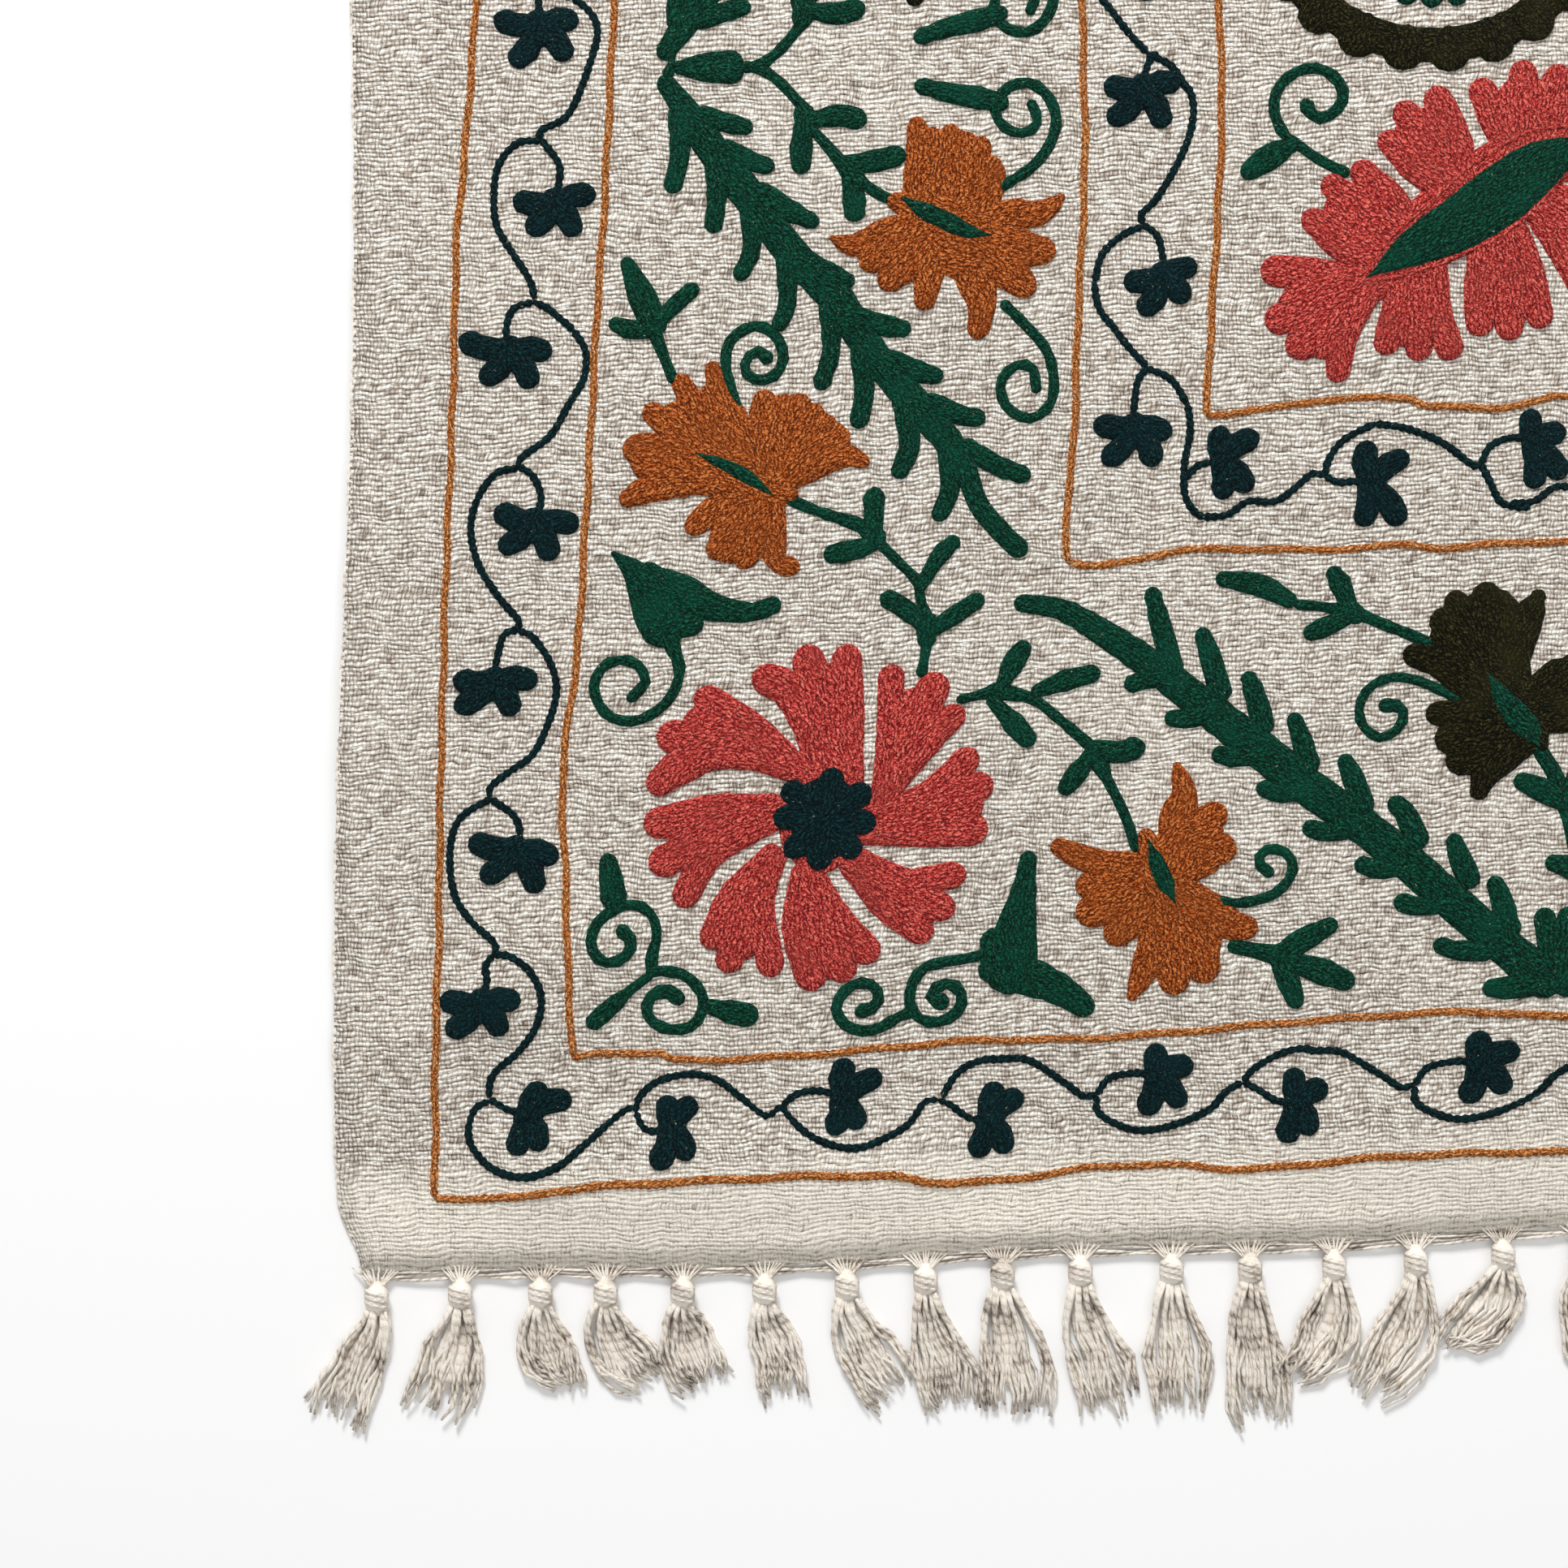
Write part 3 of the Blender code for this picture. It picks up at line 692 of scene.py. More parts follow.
FIELD_PETALS = (
    ((1862, 188, 36), (1843, 146, 46), (1827, 114, 38)),
    ((1875, 185, 40), (1878, 130, 46), (1878, 91, 38)),
    ((1900, 180, 40), (1912, 130, 44), (1921, 95, 38)),
    ((1785, 238, 40), (1742, 204, 44), (1711, 176, 32)),
    ((1800, 225, 40), (1764, 182, 50), (1731, 142, 36)),
    ((1808, 215, 34), (1789, 168, 44), (1771, 126, 40)),
    ((1705, 325, 36), (1655, 300, 44), (1619, 270, 32)),
    ((1725, 300, 40), (1680, 262, 50), (1643, 229, 32)),
    ((1740, 284, 36), (1708, 246, 46), (1679, 213, 34)),
    ((1680, 345, 34), (1625, 338, 44), (1575, 332, 42)),
    ((1685, 350, 40), (1630, 372, 54), (1580, 391, 42)),
    ((1690, 355, 36), (1650, 392, 52), (1607, 421, 46)),
    ((1688, 362, 30), (1656, 408, 42), (1650, 455, 32)),
    ((1735, 345, 36), (1720, 388, 42), (1709, 420, 36)),
    ((1745, 335, 40), (1745, 388, 52), (1747, 429, 34)),
    ((1765, 325, 36), (1768, 385, 40), (1784, 428, 36)),
    ((1826, 310, 40), (1822, 360, 42), (1822, 397, 38)),
    ((1850, 300, 46), (1856, 355, 54), (1859, 402, 38)),
    ((1868, 290, 40), (1884, 340, 44), (1897, 387, 37)),
    ((1890, 255, 36), (1925, 300, 44), (1950, 350, 36)),
    ((1900, 245, 40), (1945, 280, 50), (1985, 315, 38)),
    ((1905, 235, 36), (1955, 255, 44), (2000, 270, 36)),
    ((1925, 205, 36), (1975, 205, 44), (2020, 200, 36)),
    ((1925, 195, 36), (1970, 175, 48), (2012, 160, 36)),
    ((1920, 180, 36), (1955, 135, 44), (1978, 100, 36)),
    ((1690, 338, 24), (1750, 294, 86), (1822, 246, 116), (1880, 208, 104), (1930, 176, 60)),
    ((1690, 352, 46), (1645, 368, 96), (1618, 378, 88)),
    ((1682, 362, 36), (1650, 400, 60), (1638, 418, 52)),
    ((1720, 310, 50), (1683, 279, 86), (1668, 266, 82)),
    ((1800, 222, 50), (1766, 190, 86), (1754, 172, 80)),
    ((1880, 190, 60), (1880, 156, 86), (1880, 131, 84)),
    ((1742, 335, 70), (1742, 380, 84), (1742, 392, 80)),
    ((1848, 290, 70), (1855, 340, 92), (1857, 362, 86)),
)

FIELD_SLIT = (
    ((1684, 342, 4), (1727, 314, 44), (1763, 294, 64), (1792, 279, 74), (1840, 247, 84),
     (1890, 209, 74), (1927, 186, 46), (1950, 168, 10)),
)

FIELD_SLIT_EDGE = (
    ((1683, 337), (1717, 288), (1768, 244), (1813, 203), (1868, 170), (1912, 156), (1950, 154)),
    ((1693, 348), (1736, 337), (1779, 324), (1822, 304), (1876, 271), (1922, 221), (1954, 168)),
)

FIELD_SPRIG = (
    ((1542, 208, 26), (1565, 192, 36), (1588, 179, 24)),
)

FIELD_STEMS = (
    ((1656, 212, 14), (1626, 196, 13), (1603, 179, 13), (1583, 163, 14), (1571, 133, 14),
     (1577, 106, 14), (1599, 87, 14), (1626, 84, 14), (1648, 99, 15), (1655, 120, 15), (1643, 139, 15),
     (1623, 145, 15), (1611, 130, 18)),
)

# Lines of chain stitch: rows of points (right, down)
GUARD_LINES = (
    ((580, -850), (592, -600), (583, -330), (592, -150), (587, 0), (575, 165), (563, 300), (560, 430),
     (550, 700), (545, 880), (540, 1200), (536, 1474)),
    ((536, 1474), (548, 1477), (600, 1475), (646, 1473), (694, 1464), (766, 1458), (900, 1451),
     (1007, 1447), (1098, 1447), (1153, 1455), (1244, 1453), (1353, 1438), (1450, 1435), (1536, 1439),
     (1705, 1424), (1932, 1417), (2150, 1424), (2400, 1414), (2650, 1420), (2835, 1416)),
    ((752, -850), (762, -600), (750, -330), (762, -150), (757, 0), (750, 150), (742, 300), (735, 400),
     (722, 640), (712, 800), (694, 950), (698, 1100), (706, 1303)),
    ((706, 1303), (744, 1298), (813, 1298), (840, 1306), (988, 1300), (1103, 1290), (1198, 1282),
     (1320, 1280), (1424, 1274), (1598, 1259), (1794, 1246), (1932, 1250), (2150, 1240), (2400, 1250),
     (2650, 1240), (2835, 1244)),
    ((1330, -850), (1340, -600), (1328, -330), (1338, -150), (1335, 0), (1338, 200), (1330, 380),
     (1324, 546), (1315, 630), (1317, 690)),
    ((1317, 691), (1359, 696), (1446, 679), (1509, 675), (1633, 676), (1729, 671), (1779, 675),
     (1862, 669), (1932, 667), (2150, 674), (2400, 664), (2650, 672), (2835, 668)),
    ((1500, -850), (1508, -600), (1497, -330), (1505, -150), (1504, 0), (1507, 150), (1495, 380),
     (1488, 511)),
    ((1488, 511), (1571, 501), (1633, 492), (1729, 490), (1758, 500), (1841, 503), (1904, 492),
     (1932, 488), (2150, 496), (2400, 488), (2650, 494), (2835, 490)),
)

OUTER_VINE_CORNER = (
    ((707, 405), (720, 428), (722, 449), (718, 470), (700, 500), (677, 535), (645, 561), (639, 573)),
    ((639, 573), (658, 586), (668, 612), (658, 643)),
    ((639, 575), (610, 583), (588, 612), (581, 650), (591, 698), (613, 733), (639, 761), (639, 774)),
    ((639, 774), (620, 781), (613, 809), (609, 838)),
    ((639, 776), (658, 784), (677, 812), (685, 848), (677, 889), (658, 927), (626, 950), (605, 969),
     (605, 981)),
    ((605, 983), (632, 1004), (640, 1026), (635, 1046)),
    ((605, 983), (575, 1000), (560, 1023), (554, 1066), (560, 1103), (580, 1132), (609, 1161),
     (609, 1175)),
    ((609, 1175), (600, 1189), (602, 1207), (595, 1235)),
    ((609, 1175), (629, 1178), (655, 1198), (669, 1227), (663, 1261), (638, 1295), (609, 1324),
     (603, 1352)),
    ((603, 1354), (626, 1367), (649, 1370)),
    ((603, 1356), (586, 1367), (577, 1393), (583, 1416), (609, 1439), (649, 1448), (688, 1437),
     (719, 1410), (748, 1385), (776, 1366), (784, 1369)),
    ((784, 1369), (792, 1388), (805, 1394), (827, 1388)),
    ((784, 1369), (789, 1350), (811, 1331), (850, 1324), (885, 1331), (913, 1350), (939, 1372),
     (950, 1374), (964, 1362)),
    ((964, 1362), (984, 1347), (1012, 1345), (1038, 1353)),
    ((964, 1362), (974, 1377), (993, 1394), (1025, 1408), (1060, 1413), (1092, 1401), (1120, 1383),
     (1139, 1358), (1157, 1355)),
    ((1157, 1355), (1174, 1361), (1197, 1377), (1219, 1377)),
    ((1162, 1352), (1168, 1340), (1184, 1320), (1212, 1306), (1240, 1304)),
)

OUTER_VINE_LEFT = (
    ((707, 405), (678, 379), (657, 370)),
    ((667, 171), (640, 174), (617, 198), (608, 230), (611, 271), (630, 306), (652, 344), (659, 367)),
    ((667, 169), (688, 198), (688, 223), (684, 249)),
    ((706, -5), (722, 8), (734, 24), (737, 42), (732, 64), (716, 105), (697, 143), (668, 159),
     (667, 169)),
)

OUTER_VINE_BOTTOM = (
    ((1230, 1304), (1265, 1306), (1289, 1317), (1318, 1336), (1337, 1351), (1353, 1348)),
    ((1353, 1348), (1369, 1327), (1401, 1321), (1426, 1326)),
    ((1353, 1350), (1354, 1368), (1372, 1383), (1401, 1393), (1439, 1387), (1490, 1368), (1512, 1345),
     (1531, 1332)),
    ((1533, 1332), (1550, 1342), (1573, 1355), (1598, 1355)),
    ((1533, 1332), (1547, 1315), (1573, 1300), (1600, 1293), (1622, 1294)),
)

INNER_VINE_CORNER = (
    ((1465, 497), (1468, 534), (1461, 576), (1461, 610), (1476, 632), (1495, 636)),
    ((1461, 590), (1476, 572), (1492, 568), (1506, 565)),
)

INNER_VINE_LEFT_A = (
    ((1415, 450), (1404, 438), (1375, 404), (1355, 379), (1350, 345)),
    ((1414, 452), (1446, 466), (1465, 497)),
)

INNER_VINE_LEFT_B = (
    ((1350, 345), (1361, 311), (1386, 286), (1409, 276)),
    ((1409, 274), (1428, 289), (1435, 313), (1437, 337)),
    ((1465, 103), (1471, 118), (1472, 136), (1465, 168), (1448, 210), (1425, 244), (1407, 261),
     (1409, 274)),
)

INNER_VINE_BOTTOM_A = (
    ((1484, 635), (1514, 634), (1540, 616), (1574, 615), (1604, 595), (1619, 583), (1634, 585)),
    ((1634, 585), (1650, 593), (1670, 591), (1687, 595)),
    ((1634, 585), (1638, 565), (1657, 542), (1695, 521)),
)

INNER_VINE_BOTTOM_B = (
    ((1695, 521), (1740, 531), (1778, 546), (1812, 574), (1823, 572)),
    ((1823, 572), (1835, 549), (1863, 538), (1887, 546)),
    ((1823, 572), (1834, 593), (1846, 619), (1868, 625), (1884, 624)),
)

STEMS_OUTER_LEFT = (
    ((665, -32), (661, -18), (663, 2), (665, 29)),
)

STEMS_INNER_LEFT = (
    ((1428, 62), (1417, 73), (1411, 90), (1411, 107)),
)

CORNER_LEAF_STEMS = (
    ((1414, 452), (1402, 470), (1398, 504), (1400, 523)),
    ((657, 370), (633, 379), (625, 405), (629, 430)),
)

# Guard leaves: the middle, then the ends of the four lobes
CORNER_LEAVES = (
    ((658, 643), (609, 628), (714, 643), (617, 679), (683, 688)),
    ((609, 838), (558, 838), (663, 835), (562, 876), (636, 879)),
    ((635, 1046), (577, 1037), (689, 1055), (595, 1086), (666, 1098)),
    ((595, 1235), (543, 1232), (643, 1229), (554, 1275), (623, 1273)),
    ((649, 1370), (669, 1333), (704, 1350), (635, 1422), (669, 1416)),
    ((827, 1388), (821, 1349), (856, 1353), (811, 1439), (853, 1426)),
    ((1038, 1353), (1041, 1303), (1086, 1321), (1028, 1398), (1063, 1388)),
    ((1219, 1377), (1228, 1332), (1260, 1345), (1203, 1425), (1244, 1419)),
    ((1506, 565), (1504, 523), (1551, 531), (1510, 614), (1544, 602)),
    ((1400, 523), (1348, 523), (1446, 531), (1363, 572), (1427, 572)),
    ((629, 430), (565, 418), (681, 430), (595, 472), (659, 475)),
)

LEAVES_OUTER_LEFT = (
    ((684, 249), (632, 246), (734, 233), (652, 287), (713, 287)),
    ((665, 29), (608, 22), (713, 19), (633, 80), (703, 70)),
)

LEAVES_OUTER_BOTTOM = (
    ((1426, 1326), (1426, 1285), (1471, 1307), (1413, 1374), (1461, 1361)),
    ((1598, 1355), (1595, 1315), (1636, 1334), (1582, 1406), (1617, 1396)),
)

LEAVES_INNER_LEFT = (
    ((1437, 337), (1386, 348), (1476, 323), (1409, 387), (1465, 370)),
    ((1411, 107), (1361, 104), (1456, 95), (1369, 151), (1439, 154)),
)

LEAVES_INNER_BOTTOM = (
    ((1687, 595), (1682, 542), (1733, 557), (1682, 648), (1729, 644)),
    ((1887, 546), (1884, 504), (1929, 527), (1891, 602), (1929, 587)),
)


def through(points, step):
    """A soft curve through listed points, sampled at even steps; returns an array of rows."""
    points = np.asarray(points, dtype=float)
    ends = np.vstack((2 * points[0] - points[1], points, 2 * points[-1] - points[-2]))
    ends[0, 2:], ends[-1, 2:] = points[0, 2:], points[-1, 2:]
    rows = []
    for a, b, c, d in zip(ends, ends[1:], ends[2:], ends[3:]):
        t = np.linspace(0, 1, 17)[:-1, None]
        curve = 2 * b + (c - a) * t + (2 * a - 5 * b + 4 * c - d) * t**2 + (3 * b - a - 3 * c + d) * t**3
        rows.append(curve / 2)
    rows = np.vstack(rows + [points[-1:]])
    along = np.concatenate(([0], np.cumsum(np.hypot(*np.diff(rows[:, :2], axis=0).T))))
    count = max(2, round(along[-1] / step))
    spots = np.linspace(0, along[-1], count + 1)
    return np.stack([np.interp(spots, along, column) for column in rows.T], axis=1), spots


def strip_grid(bm, along, across):
    """A grid of cells in bm; returns its points with their place in it."""
    made = bmesh.ops.create_grid(bm, x_segments=along, y_segments=across, size=0.5)["verts"]
    return [(vert, round((vert.co.x + 0.5) * along), round((vert.co.y + 0.5) * across)) for vert in made]


class Stitching:
    """One template of sewn parts in the woven plane, with stitch places for its shader."""

    def __init__(self, name):
        self.name = name
        self.bm = bmesh.new()
        self.places = []
        self.count = 0

    def strip(self, centre, tangent, half, spots, cells, height, level, edge, crown=0.12):
        """A rounded strip with a flat foot; centre, tangent and half are rows along it."""
        turn = np.linspace(0, np.pi, cells + 1)
        across = -np.cos(turn)
        side = np.stack((-tangent[:, 1], tangent[:, 0]), axis=1)
        for vert, i, j in strip_grid(self.bm, len(spots) - 1, cells):
            reach = half[i] * across[j]
            inside = min(1.0, half[i] * (1 - abs(across[j])) / edge)
            rise = math.sqrt(max(0.0, 1 - (1 - inside) ** 2))
            rise *= height[i] * (1 - crown * across[j] ** 2)
            spot = centre[i] + side[i] * reach
            vert.co = (spot[0], spot[1], level - FOOT + rise)
            self.places.append((spots[i] + self.count * 0.0137, reach))
        self.count += 1

    def blade(self, points, level=0.0, high=BLADE_HIGH, cells=BLADE_CELLS):
        """A filled leaf, petal or finger with round ends; points are rows of (u, v, width)."""
        rows, spots = through(points, STEP)
        first, last = rows[0, 2] / 2, rows[-1, 2] / 2
        tangent = np.gradient(rows[:, :2], axis=0)
        tangent /= np.linalg.norm(tangent, axis=1)[:, None]
        angles = np.radians((84, 54, 24))
        start = -first * np.sin(angles)
        finish = last * np.sin(angles[::-1])
        first_end = rows[0, :2] + tangent[0] * start[:, None]
        last_end = rows[-1, :2] + tangent[-1] * finish[:, None]
        centre = np.vstack((first_end, rows[:, :2], last_end))
        ends = len(angles)
        tangent = np.vstack((tangent[:1].repeat(ends, 0), tangent, tangent[-1:].repeat(ends, 0)))
        half = np.concatenate((first * np.cos(angles), rows[:, 2] / 2, last * np.cos(angles[::-1])))
        spots = np.concatenate((start, spots, spots[-1] + finish))
        seed = self.count * 1.7
        wobble = np.sin(spots * 1600 + seed) * 0.10 + np.sin(spots * 3700 + seed * 2) * 0.10
        half = half + np.clip(wobble, -0.2, 0.2) * MM * np.minimum(1, half / (1.5 * MM))
        height = np.full(len(spots), high) + (self.count % 7) * 0.02 * MM
        self.strip(centre, tangent, half, spots, cells, height, level, 0.9 * MM)

    def chain(self, points, width, level=0.0, high=LINE_HIGH):
        """A line of chain stitch: links pinched where one stitch enters the next."""
        rows, spots = through(points, STITCH / 2)
        tangent = np.gradient(rows, axis=0)
        tangent /= np.linalg.norm(tangent, axis=1)[:, None]
        seed = self.count * 2.3
        link = np.where(np.arange(len(spots)) % 2 == 0, 0.80, 1.08)
        half = width / 2 * link * (1 + 0.06 * np.sin(spots * 900 + seed))
        half[0] *= 0.6
        half[-1] *= 0.6
        height = high * (0.78 + 0.24 * (link > 1)) * np.ones(len(spots))
        drift = 0.22 * MM * np.sin(spots * 260 + seed) * np.minimum(1, spots / (5 * MM))
        side = np.stack((-tangent[:, 1], tangent[:, 0]), axis=1)
        centre = rows + side * drift[:, None]
        self.strip(centre, tangent, half, spots, CORD_CELLS, height, level, width / 2, 0.0)

    def guard_leaf(self, row, level=0.0):
        """A small leaf of four lobes: its middle, then the ends of the lobes."""
        middle = row[0]
        for tip in row[1:]:
            run = tip - middle
            length = np.linalg.norm(run)
            bend = middle + run * 0.5 + 0.05 * np.array((-run[1], run[0]))
            end = middle + run * (1 - LOBE_END / length)
            self.blade([(*spot, wide) for spot, wide in zip((middle, bend, end), LOBE_WIDTHS)], level)
        near, far = np.mean(row[1:3], axis=0), np.mean(row[3:], axis=0)
        self.blade([(*(middle * 0.8 + end * 0.2), LEAF_MIDDLE) for end in (near, far)], level)

    def mesh(self):
        """The template's mesh, with its stitch places as a uv map."""
        made = bpy.data.meshes.new(self.name)
        self.bm.to_mesh(made)
        self.bm.free()
        add_uv(made, "stitch", self.places)
        return made


def spread(template, name, maps):
    """Lays mirrored and shifted copies of a template on the cloth, as one mesh."""
    woven = coordinates(template)
    joined = bmesh.new()
    for (du, su), (dv, sv) in maps:
        points = np.stack((du * MM + su * woven[:, 0], dv * MM + sv * woven[:, 1], woven[:, 2]), axis=1)
        copy = template.copy()
        set_coordinates(copy, lay(points, SHEET_TOP))
        if su * sv < 0:
            copy.flip_normals()
        joined.from_mesh(copy)
        bpy.data.meshes.remove(copy)
    made = bpy.data.meshes.new(name)
    joined.to_mesh(made)
    joined.free()
    return made


# Placings: ((shift, scale) along the hem, (shift, scale) along the selvedge), in mm
SAME = (0, 1)


def four(u=SAME, v=SAME):
    """The same part in the four quarters of the cloth."""
    return [(a, b) for a in (u, (1000 - u[0], -u[1])) for b in (v, (1000 - v[0], -v[1]))]


def sewn(name, template, maps, material):
    """Lays a template on the cloth at each of its placings, as one piece."""
    piece = add_object(name, spread(template, name, maps), material)
    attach(piece, "root")
    return piece


def sewing(name, blades=(), chains=(), leaves=(), cords=(), width=2.5 * MM, level=0.0):
    """A template from tables of blades, chain lines, cords of listed width and four-lobed leaves."""
    made = Stitching(name)
    for row in blades:
        made.blade(from_photo(row), level)
    for row in cords:
        swollen = from_photo([(right, down, round(wide * STEM_SWELL)) for right, down, wide in row])
        made.blade(swollen, level - 0.05 * MM, LINE_HIGH, CORD_CELLS)
    for row in chains:
        made.chain(from_photo(row), width, level)
    for row in leaves:
        made.guard_leaf(from_photo(row), level)
    return made.mesh()


def motif(name, maps, material, **parts):
    """Sews one motif from its tables, at each of its placings."""
    return sewn(name, sewing(name, **parts), maps, material)


def yarn_material(name, dark, base, light, patch, ground_specks=0.0):
    """Rows of chain stitch in woollen yarn: the uv map holds the place along and across a row."""
    m = Shader(name, rough=0.9, sheen=0.03, specular=0.1)
    place = m.place()
    stitch = m.place("stitch")
    along, across, _ = m.split(stitch)
    sway = m.math("SUBTRACT", m.noise(place, 420.0, 1.0), 0.5)
    row = m.math("MULTIPLY_ADD", across, 1 / ROW_PITCH, m.math("MULTIPLY_ADD", sway, 2.6, 40.5))
    fold = m.math("SUBTRACT", m.math("FRACT", row), 0.5)
    number = m.math("FLOOR", row)
    phase = m.math("MULTIPLY_ADD", along, 1 / FILL_STITCH, m.math("MULTIPLY", m.math("ABSOLUTE", fold), -0.9))
    phase = m.math("ADD", phase, m.math("MULTIPLY_ADD", number, 0.37, m.math("MULTIPLY", sway, 3.4)))
    step = m.math("POWER", m.math("FRACT", m.math("ADD", phase, 60.0)), 0.75)
    lengthways = m.math("POWER", m.math("ABSOLUTE", m.math("SINE", m.math("MULTIPLY", step, math.pi))), 0.5)
    sideways = m.math("POWER", m.math("ABSOLUTE", m.math("COSINE", m.math("MULTIPLY", fold, math.pi))), 0.5)
    strand = m.math("MULTIPLY", lengthways, sideways)
    fibre = m.noise(place, 2200.0, 1.0)
    streak = m.noise(m.stretch(stitch, 700.0, 1700.0), 1.0, 1.0)
    height = m.math("MULTIPLY_ADD", m.math("SUBTRACT", fibre, 0.5), 1.0, m.math("MULTIPLY", strand, 0.55))
    height = m.math("MULTIPLY_ADD", m.math("SUBTRACT", streak, 0.5), 1.1, height)
    # The colour follows the stitch height: painted shade in the gaps between stitches and painted highlight
    # on the stitch tops, with fibre streaks of the yarn's own
    colour = m.ramp(height, (0.08, dark), (0.40, base), (0.80, light))
    # Random soft patches, some centimetres across, mixed towards the patch colour
    random_patches = m.math("MULTIPLY", m.math("SUBTRACT", m.noise(place, 75.0, 2.0, 0.6), 0.50), 4.0, clamp=True)
    colour = m.mix(m.math("MULTIPLY", random_patches, 0.6), colour, tint(patch))
    if ground_specks:
        speck = m.math("GREATER_THAN", m.noise(place, 900.0, 1.0), 1 - ground_specks)
        gap = m.math("MULTIPLY", speck, m.math("LESS_THAN", strand, 0.45))
        colour = m.mix(gap, colour, tint((150, 146, 124)))
    return m.finish(colour, height, 0.0008, 1.0)


# Fringe: the same sizes as in the part
TASSELS = 49
END_TASSEL_INSET = 10.3 * MM
STRIP_OUT = 2.5 * MM
KNOT_SECTIONS = (
    {"reach": 0.7 * MM, "width": 3.8 * MM, "height": 2.6 * MM},
    {"reach": 2.4 * MM, "width": 6.2 * MM, "height": 4.6 * MM},
    {"reach": 5.4 * MM, "width": 6.0 * MM, "height": 4.6 * MM},
    {"reach": 7.2 * MM, "width": 4.8 * MM, "height": 3.2 * MM},
)

# A tassel in the picture: a knot with wraps at these places along it, in mm, warp ends that are drawn into
# it, and clumps of loose yarn out of it
KNOT_POINTS = 24
WRAPS = (2.3, 3.8, 5.2)
GATHERED = 11
YARN_POINTS = 30
CLUMPS = 5
YARNS_IN_CLUMP = 6
YARN_HALF = 0.58 * MM

# The first front tassels: place, lean, length, then how the yarns bulge, spread and curl
FRONT_TASSELS = (
    (10.3, -27, 38, 1.0, 6.0, 4),
    (31.6, -9, 34, 1.5, 8.0, -6),
    (52.0, -1, 30, 4.5, 3.0, 30),
    (68.6, 16, 31, 4.0, 3.5, 20),
    (88.2, 13, 28, 4.0, 5.5, 8),
    (109.0, 17, 31, 2.0, 4.0, -6),
    (130.0, 26, 35, 2.0, 5.0, 6),
    (150.0, 20, 38, 1.5, 5.0, -8),
    (169.6, 13, 39, 2.5, 6.5, -6),
    (189.4, 16, 40, 1.5, 5.0, 2),
    (212.6, 8, 38, 2.0, 4.5, -4),
    (232.6, 2, 43, 2.0, 5.5, 4),
    (254.0, 3, 36, 4.5, 3.0, -40),
    (274.8, -8, 40, 3.0, 4.0, -25),
    (297.0, -9, 34, 4.5, 3.0, -45),
)


def tassel_table(front):
    """Place, lean, length, bulge, spread and curl of every tassel on a hem, in mm and degrees."""
    listed = [list(row) for row in FRONT_TASSELS] if front else []
    start = listed[-1][0] if front else END_TASSEL_INSET / MM
    count = TASSELS - len(listed)
    pitch = (WIDTH / MM - END_TASSEL_INSET / MM - start) / (count if front else count - 1)
    shift = 0.0 if front else 9.0
    for index in range(count):
        wave = 0.45 * (index + len(listed)) + shift
        place = start + pitch * (index + 1 if front else index)
        place += 0.9 * math.sin(2.7 * index + shift) * (0 < index < count - 1)
        lean = 8 * math.sin(wave) + 2.5 * math.sin(2.4 * wave + 2)
        bulge = 2.4 + 1.6 * math.sin(5.1 * wave)
        spread = 5.0 + math.sin(3.3 * wave)
        curl = 18 * math.sin(7.7 * wave)
        listed.append([place, lean, 37 + 3.5 * math.sin(4.7 * wave), bulge, spread, curl])
    return listed


def tube_template(name, along, sides):
    """A closed tube of unit length along x and unit radius."""
    bm = bmesh.new()
    bmesh.ops.create_grid(bm, x_segments=along, y_segments=sides, size=0.5)
    for vert in bm.verts:
        angle = (round((vert.co.y + 0.5) * sides) / sides) * math.tau
        vert.co = (vert.co.x + 0.5, math.cos(angle), math.sin(angle))
    bmesh.ops.remove_doubles(bm, verts=bm.verts[:], dist=1e-5)
    bmesh.ops.holes_fill(bm, edges=[e for e in bm.edges if e.is_boundary], sides=sides)
    bmesh.ops.recalc_face_normals(bm, faces=bm.faces)
    made = bpy.data.meshes.new(name)
    bm.to_mesh(made)
    bm.free()
    points = coordinates(made)
    around = np.arctan2(points[:, 2], points[:, 1]) / math.tau
    add_uv(made, "stitch", np.stack((points[:, 0], around), axis=1))
    return made, points


def add_tube(joined, template, path, wide, high, turns=1.0):
    """Bends a copy of the tube template along a path and adds it; sizes are half widths."""
    mesh, points = template
    spots = np.linspace(0, 1, len(path))
    t = points[:, 0]
    centre = np.stack([np.interp(t, spots, column) for column in path.T], axis=1)
    tangent = np.gradient(path, axis=0)
    heading = np.stack([np.interp(t, spots, column) for column in tangent.T], axis=1)
    heading[:, 2] = 0
    heading /= np.linalg.norm(heading, axis=1)[:, None] + 1e-12
    side = np.stack((-heading[:, 1], heading[:, 0], np.zeros(len(t))), axis=1)
    w, h = np.interp(t, spots, wide), np.interp(t, spots, high)
    shaped = centre + side * (points[:, 1] * w)[:, None]
    shaped[:, 2] += points[:, 2] * h
    copy = mesh.copy()
    set_coordinates(copy, shaped)
    layer = copy.uv_layers["stitch"].data
    values = np.empty(len(layer) * 2, dtype=np.float32)
    layer.foreach_get("uv", values)
    values[0::2] *= turns * np.linalg.norm(np.diff(path, axis=0), axis=1).sum()
    layer.foreach_set("uv", values)
    joined.from_mesh(copy)
    bpy.data.meshes.remove(copy)


def hem_y(x, front):
    """Where the hem lies at x."""
    u = np.linspace(0, WIDTH, 400)
    hem_x, y = plan(u, np.full_like(u, 0.0 if front else LENGTH))
    return np.interp(x, hem_x, y)


